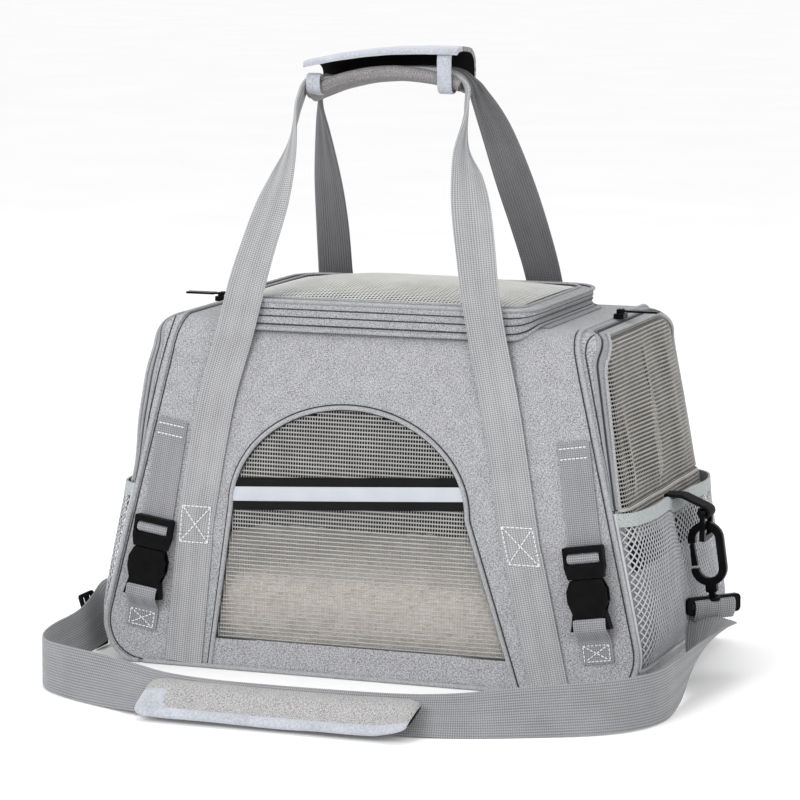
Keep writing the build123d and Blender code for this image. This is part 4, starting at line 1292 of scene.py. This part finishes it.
def handle(name, path, feet, facing, grip_y, material, nodes_replaced):
    """One length of webbing: sewn up the panel, free, folded in the grip, and down the other side."""
    halves = []
    for column, side in ((2, -1), (3, 1)):
        foot, top = feet[0] if side < 0 else feet[1]
        rows = []
        for v in (3.6, 25, 50, 75, 100, 118):
            p = front(lerp(foot, top, v / FOOT_RISE), v, 1.25)
            rows.append((p[0], -facing * p[1] if facing > 0 else p[1], p[2], 0, 30.0))
        for station in path:
            rows.append((station[column], station[0], station[1], station[column + 2], station[6]))
        halves.append([(*row, side) for row in rows])
    grip = [(x, grip_y, z, 90, 14.0, -1) for x, z in ((-66, 452.5), (-19, 460), (28, 460))]
    rows = []
    for x, y, z, twist, wide, side in halves[0] + grip + halves[1][::-1]:
        t = math.radians(twist)
        across = np.array((math.cos(t), side * math.sin(t), 0)) * (1 if side < 0 else -1)
        if facing > 0:
            across = -across
        rows.append((x, y, z, *across, wide))
    line = curve_through(rows, 520)
    points = line[:, :3]

    def section(i):
        scale = line[i, 6] / 30
        return [(a * scale, b * (1 + 1.3 * (1 - scale))) for a, b in webbing_section(30, 1.9, 13)]

    made = ribbon(
        f"{name}_webbing", points, line[:, 3:6], section, material, body=None, slot="grey_webbing",
        replaces=nodes_replaced,
    )
    y = facing * HANDLE_FOLD_Y
    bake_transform(made)
    return points


handle(
    "front_handle", FRONT_PATH, FRONT_FEET, -1, -17.5, HANDLE_WEBBING, ["front_handle", "front_handle_base"],
)
# the back handle wears the darker webbing, which is painted shade
handle("back_handle", BACK_PATH, BACK_FEET, 1, 1.5, BACK_WEBBING_SHADED, ["back_handle", "back_handle_base"])

# box and cross stitches that hold the front handle's webbing
BOX_AND_CROSS = (
    ((-12, 98), (12, 98), (12, 126), (-12, 126), (-12, 98), (12, 126)), ((12, 98), (-12, 126)),
)
runs = []
for foot, top in FRONT_FEET:
    def on_strap(p, v, foot=foot, top=top):
        return front(lerp(foot, top, v / FOOT_RISE) + p, v, 2.7)
    for chain in BOX_AND_CROSS:
        for (p0, v0), (p1, v1) in zip(chain, chain[1:]):
            pts = [on_strap(lerp(p0, p1, t), lerp(v0, v1, t)) for t in np.linspace(0, 1, 8)]
            runs.append((pts, [FRONT_OUT] * 8))
stitches("handle_box_stitches", runs, 2.6, 0.9)

# ---- grip wrap -----------------------------------------------------------------------------------
WRAP = [
    # y, z of the wrap's middle surface, from the upper lip round the back to the roll, and the share of the
    # top's shift that each point takes
    (-34, 471.5, 1.0), (-34.5, 474.5, 1.0), (-31, 476.5, 1.0), (-22, 477.5, 1.0), (-10, 477, 1.0),
    (2, 475, 1.0),
    (10, 469, 0.9), (12, 460, 0.6), (9, 450, 0.3), (0, 445, 0.1), (-10, 445, 0.0), (-19, 448, 0.0),
]


def through(values, s):
    a, b, c = values
    return a * (1 - s) * (1 - 2 * s) + 4 * b * s * (1 - s) + c * s * (2 * s - 1)


def wrap_grids(steps=61):
    outer, roll = [], []
    for s in np.linspace(0, 1, steps):
        x = lerp(-82, 44, s)
        top_shift, roll_shift = through((-10, 0, 1.5), s), through((-11, 6, -3), s)
        path = curve_through([(y, z + lerp(roll_shift, top_shift, w)) for y, z, w in WRAP], 60)
        wave = 0.6 * noise.noise(Vector((x * 0.05, 0, 2.2)))
        outer.append([(x, y, z + wave) for y, z in path])
        roll.append((x, -24.0, 452.5 + roll_shift + wave))
    return outer, roll


wrap_rows, roll_line = wrap_grids()
wrap = slab("grip_wrap", wrap_rows, 3.6, [ROLL, LINING], flip=False, body="back_handle", slot="grip_fabric",
            replaces=["handle_wrap"])
wrap.data.materials.append(VELVET)
for polygon in wrap.data.polygons:
    c = polygon.center / MM
    if c.y < -20 and c.z > 456 and polygon.material_index == 0:
        polygon.material_index = 2
roll = sweep(
    "grip_roll", roll_line, round_section(4.9, 18),
    [(0, 0, 1)] * len(roll_line), ROLL, body="back_handle", slot="grip_fabric",
)
# pale loops: one round the roll's left end, one hanging from the flap over its right end
for label, x, low, high in (("left", -75, 440.5, 456.5), ("right", 33, 443.5, 473.5)):
    hook = [
        (-27, high), (-31, high - 2), (-31.5, lerp(low, high, 0.5)), (-30, low + 3), (-24, low),
        (-17.5, low + 3), (-16.5, low + 9), (-18, low + 12),
    ]
    line = [(x, y, z) for y, z in curve_through(hook, 40)]
    ribbon(
        f"grip_loop_{label}", line, [(1, 0, 0)] * 40, webbing_section(11.5, 1.5, 5, 0.1), VELVET,
        body="front_handle", slot="pale_trim", replaces=["grip_loops"] if x < 0 else [],
    )

# ---- buckle webbing ------------------------------------------------------------------------------
BUCKLE_U, BUCKLE_V, BUCKLE_TILT = 174.0, 111.0, math.radians(8.55)


def at_buckle(side, p, q, out):
    t = side * BUCKLE_TILT
    u = side * BUCKLE_U + p * math.cos(t) - q * math.sin(t)
    v = BUCKLE_V + p * math.sin(t) + q * math.cos(t)
    return front(u, v, out)


for name, side in SIDES:
    t = side * BUCKLE_TILT
    across = np.array((math.cos(t), math.sin(t) * math.sin(BETA), math.sin(t) * math.cos(BETA)))

    def strip(label, rows, body, **keys):
        line = curve_through([at_buckle(side, 0, q, out) for q, out in rows], 60)
        return ribbon(
            f"{name}_{label}", line, [across] * 60, webbing_section(25, 1.8, 12, 0.16), BUCKLE_WEBBING,
            body=body, slot="grey_webbing", **keys,
        )

    strip(
        "upper_buckle_webbing", [(82, 1.1), (60, 1.1), (40, 1.1), (20, 1.2), (8, 1.6), (-6, 1.8)], "root",
        replaces=[f"{name}_buckle_straps"],
    )
    strip(
        "buckle_window_webbing", [(0.1, 4.5), (-1.6, 8.6), (-4, 9.8), (-6.4, 8.8), (-8.1, 4.5)],
        f"{name}_plug",
    )
    strip(
        "lower_buckle_webbing",
        [
            (-50.0, 10.0), (-50.6, 12.4), (-54, 12.8), (-58, 12.2),
            (-62, 8), (-66, 3.2), (-74, 1.4), (-84, 1.2),
        ],
        "root",
    )
    runs = []
    for q in (78, 70):
        runs.append(([at_buckle(side, p, q, 2.35) for p in np.linspace(-11, 11, 8)], [FRONT_OUT] * 8))
    for (p0, q0), (p1, q1) in (
        ((-10, -70), (10, -70)), ((10, -70), (10, -82)), ((10, -82), (-10, -82)), ((-10, -82), (-10, -70)),
        ((-10, -70), (10, -82)), ((10, -70), (-10, -82)),
    ):
        pts = [at_buckle(side, lerp(p0, p1, t), lerp(q0, q1, t), 2.6) for t in np.linspace(0, 1, 6)]
        runs.append((pts, [FRONT_OUT] * 6))
    stitches(f"{name}_buckle_stitches", runs, 2.2, 0.9)

# ---- hard parts kept from the CAD ----------------------------------------------------------------
# material, and how wide the edges are rounded in millimetres
HARD = {
    "base_board": (BOARD, 0.5), "strap_end_loops": (BLACK_METAL, 0.8), "strap_adjuster": (BLACK_PLASTIC, 0.6),
    "lid_slider": (BLACK_METAL, 0.35), "lid_pull": (BLACK_METAL, 0.3),
}
for name, _ in SIDES:
    HARD[f"{name}_ring_tab"] = (BLACK_WEBBING, 0.5)
    HARD[f"{name}_d_ring"] = (BLACK_METAL, 1.2)
    HARD[f"{name}_snap_hook"] = (BLACK_METAL, 0.9)
    HARD[f"{name}_hook_gate"] = (BLACK_METAL, 0.5)
    HARD[f"{name}_door_slider"] = (BLACK_METAL, 0.35)
    HARD[f"{name}_door_pull"] = (BLACK_METAL, 0.3)
    for part, width in (("socket", 0.5), ("plug", 0.6), ("inner_arm", 0.5), ("outer_arm", 0.5)):
        HARD[f"{name}_buckle_{part}"] = (BLACK_PLASTIC, width)
for node, (material, width) in HARD.items():
    piece = nodes[node]
    for slot in piece.material_slots:
        slot.link = "OBJECT"
        slot.material = material
    weld = piece.modifiers.new("weld", "WELD")
    weld.merge_threshold = 0.00002
    bevel = piece.modifiers.new("bevel", "BEVEL")
    bevel.width = width * MM
    bevel.segments = 3
    bevel.limit_method = "ANGLE"
    bevel.angle_limit = math.radians(38)
    bevel.harden_normals = True

# ---- floor ---------------------------------------------------------------------------------------
floor_shader = Shader("floor", roughness=0.7, specular=0.2)
cloud = floor_shader.noise(3, 3.0, 0.5)
FLOOR = floor_shader.finish(floor_shader.ramp(cloud, [(0.3, (0.95, 0.95, 0.95)), (0.7, (0.98, 0.98, 0.98))]))
FLOOR_REACH = 60000
floor_corners = [(x * FLOOR_REACH, y * FLOOR_REACH, 0) for x, y in ((-1, -1), (1, -1), (1, 1), (-1, 1))]
floor = make("floor", floor_corners, [(0, 1, 2, 3)], FLOOR, body=None)
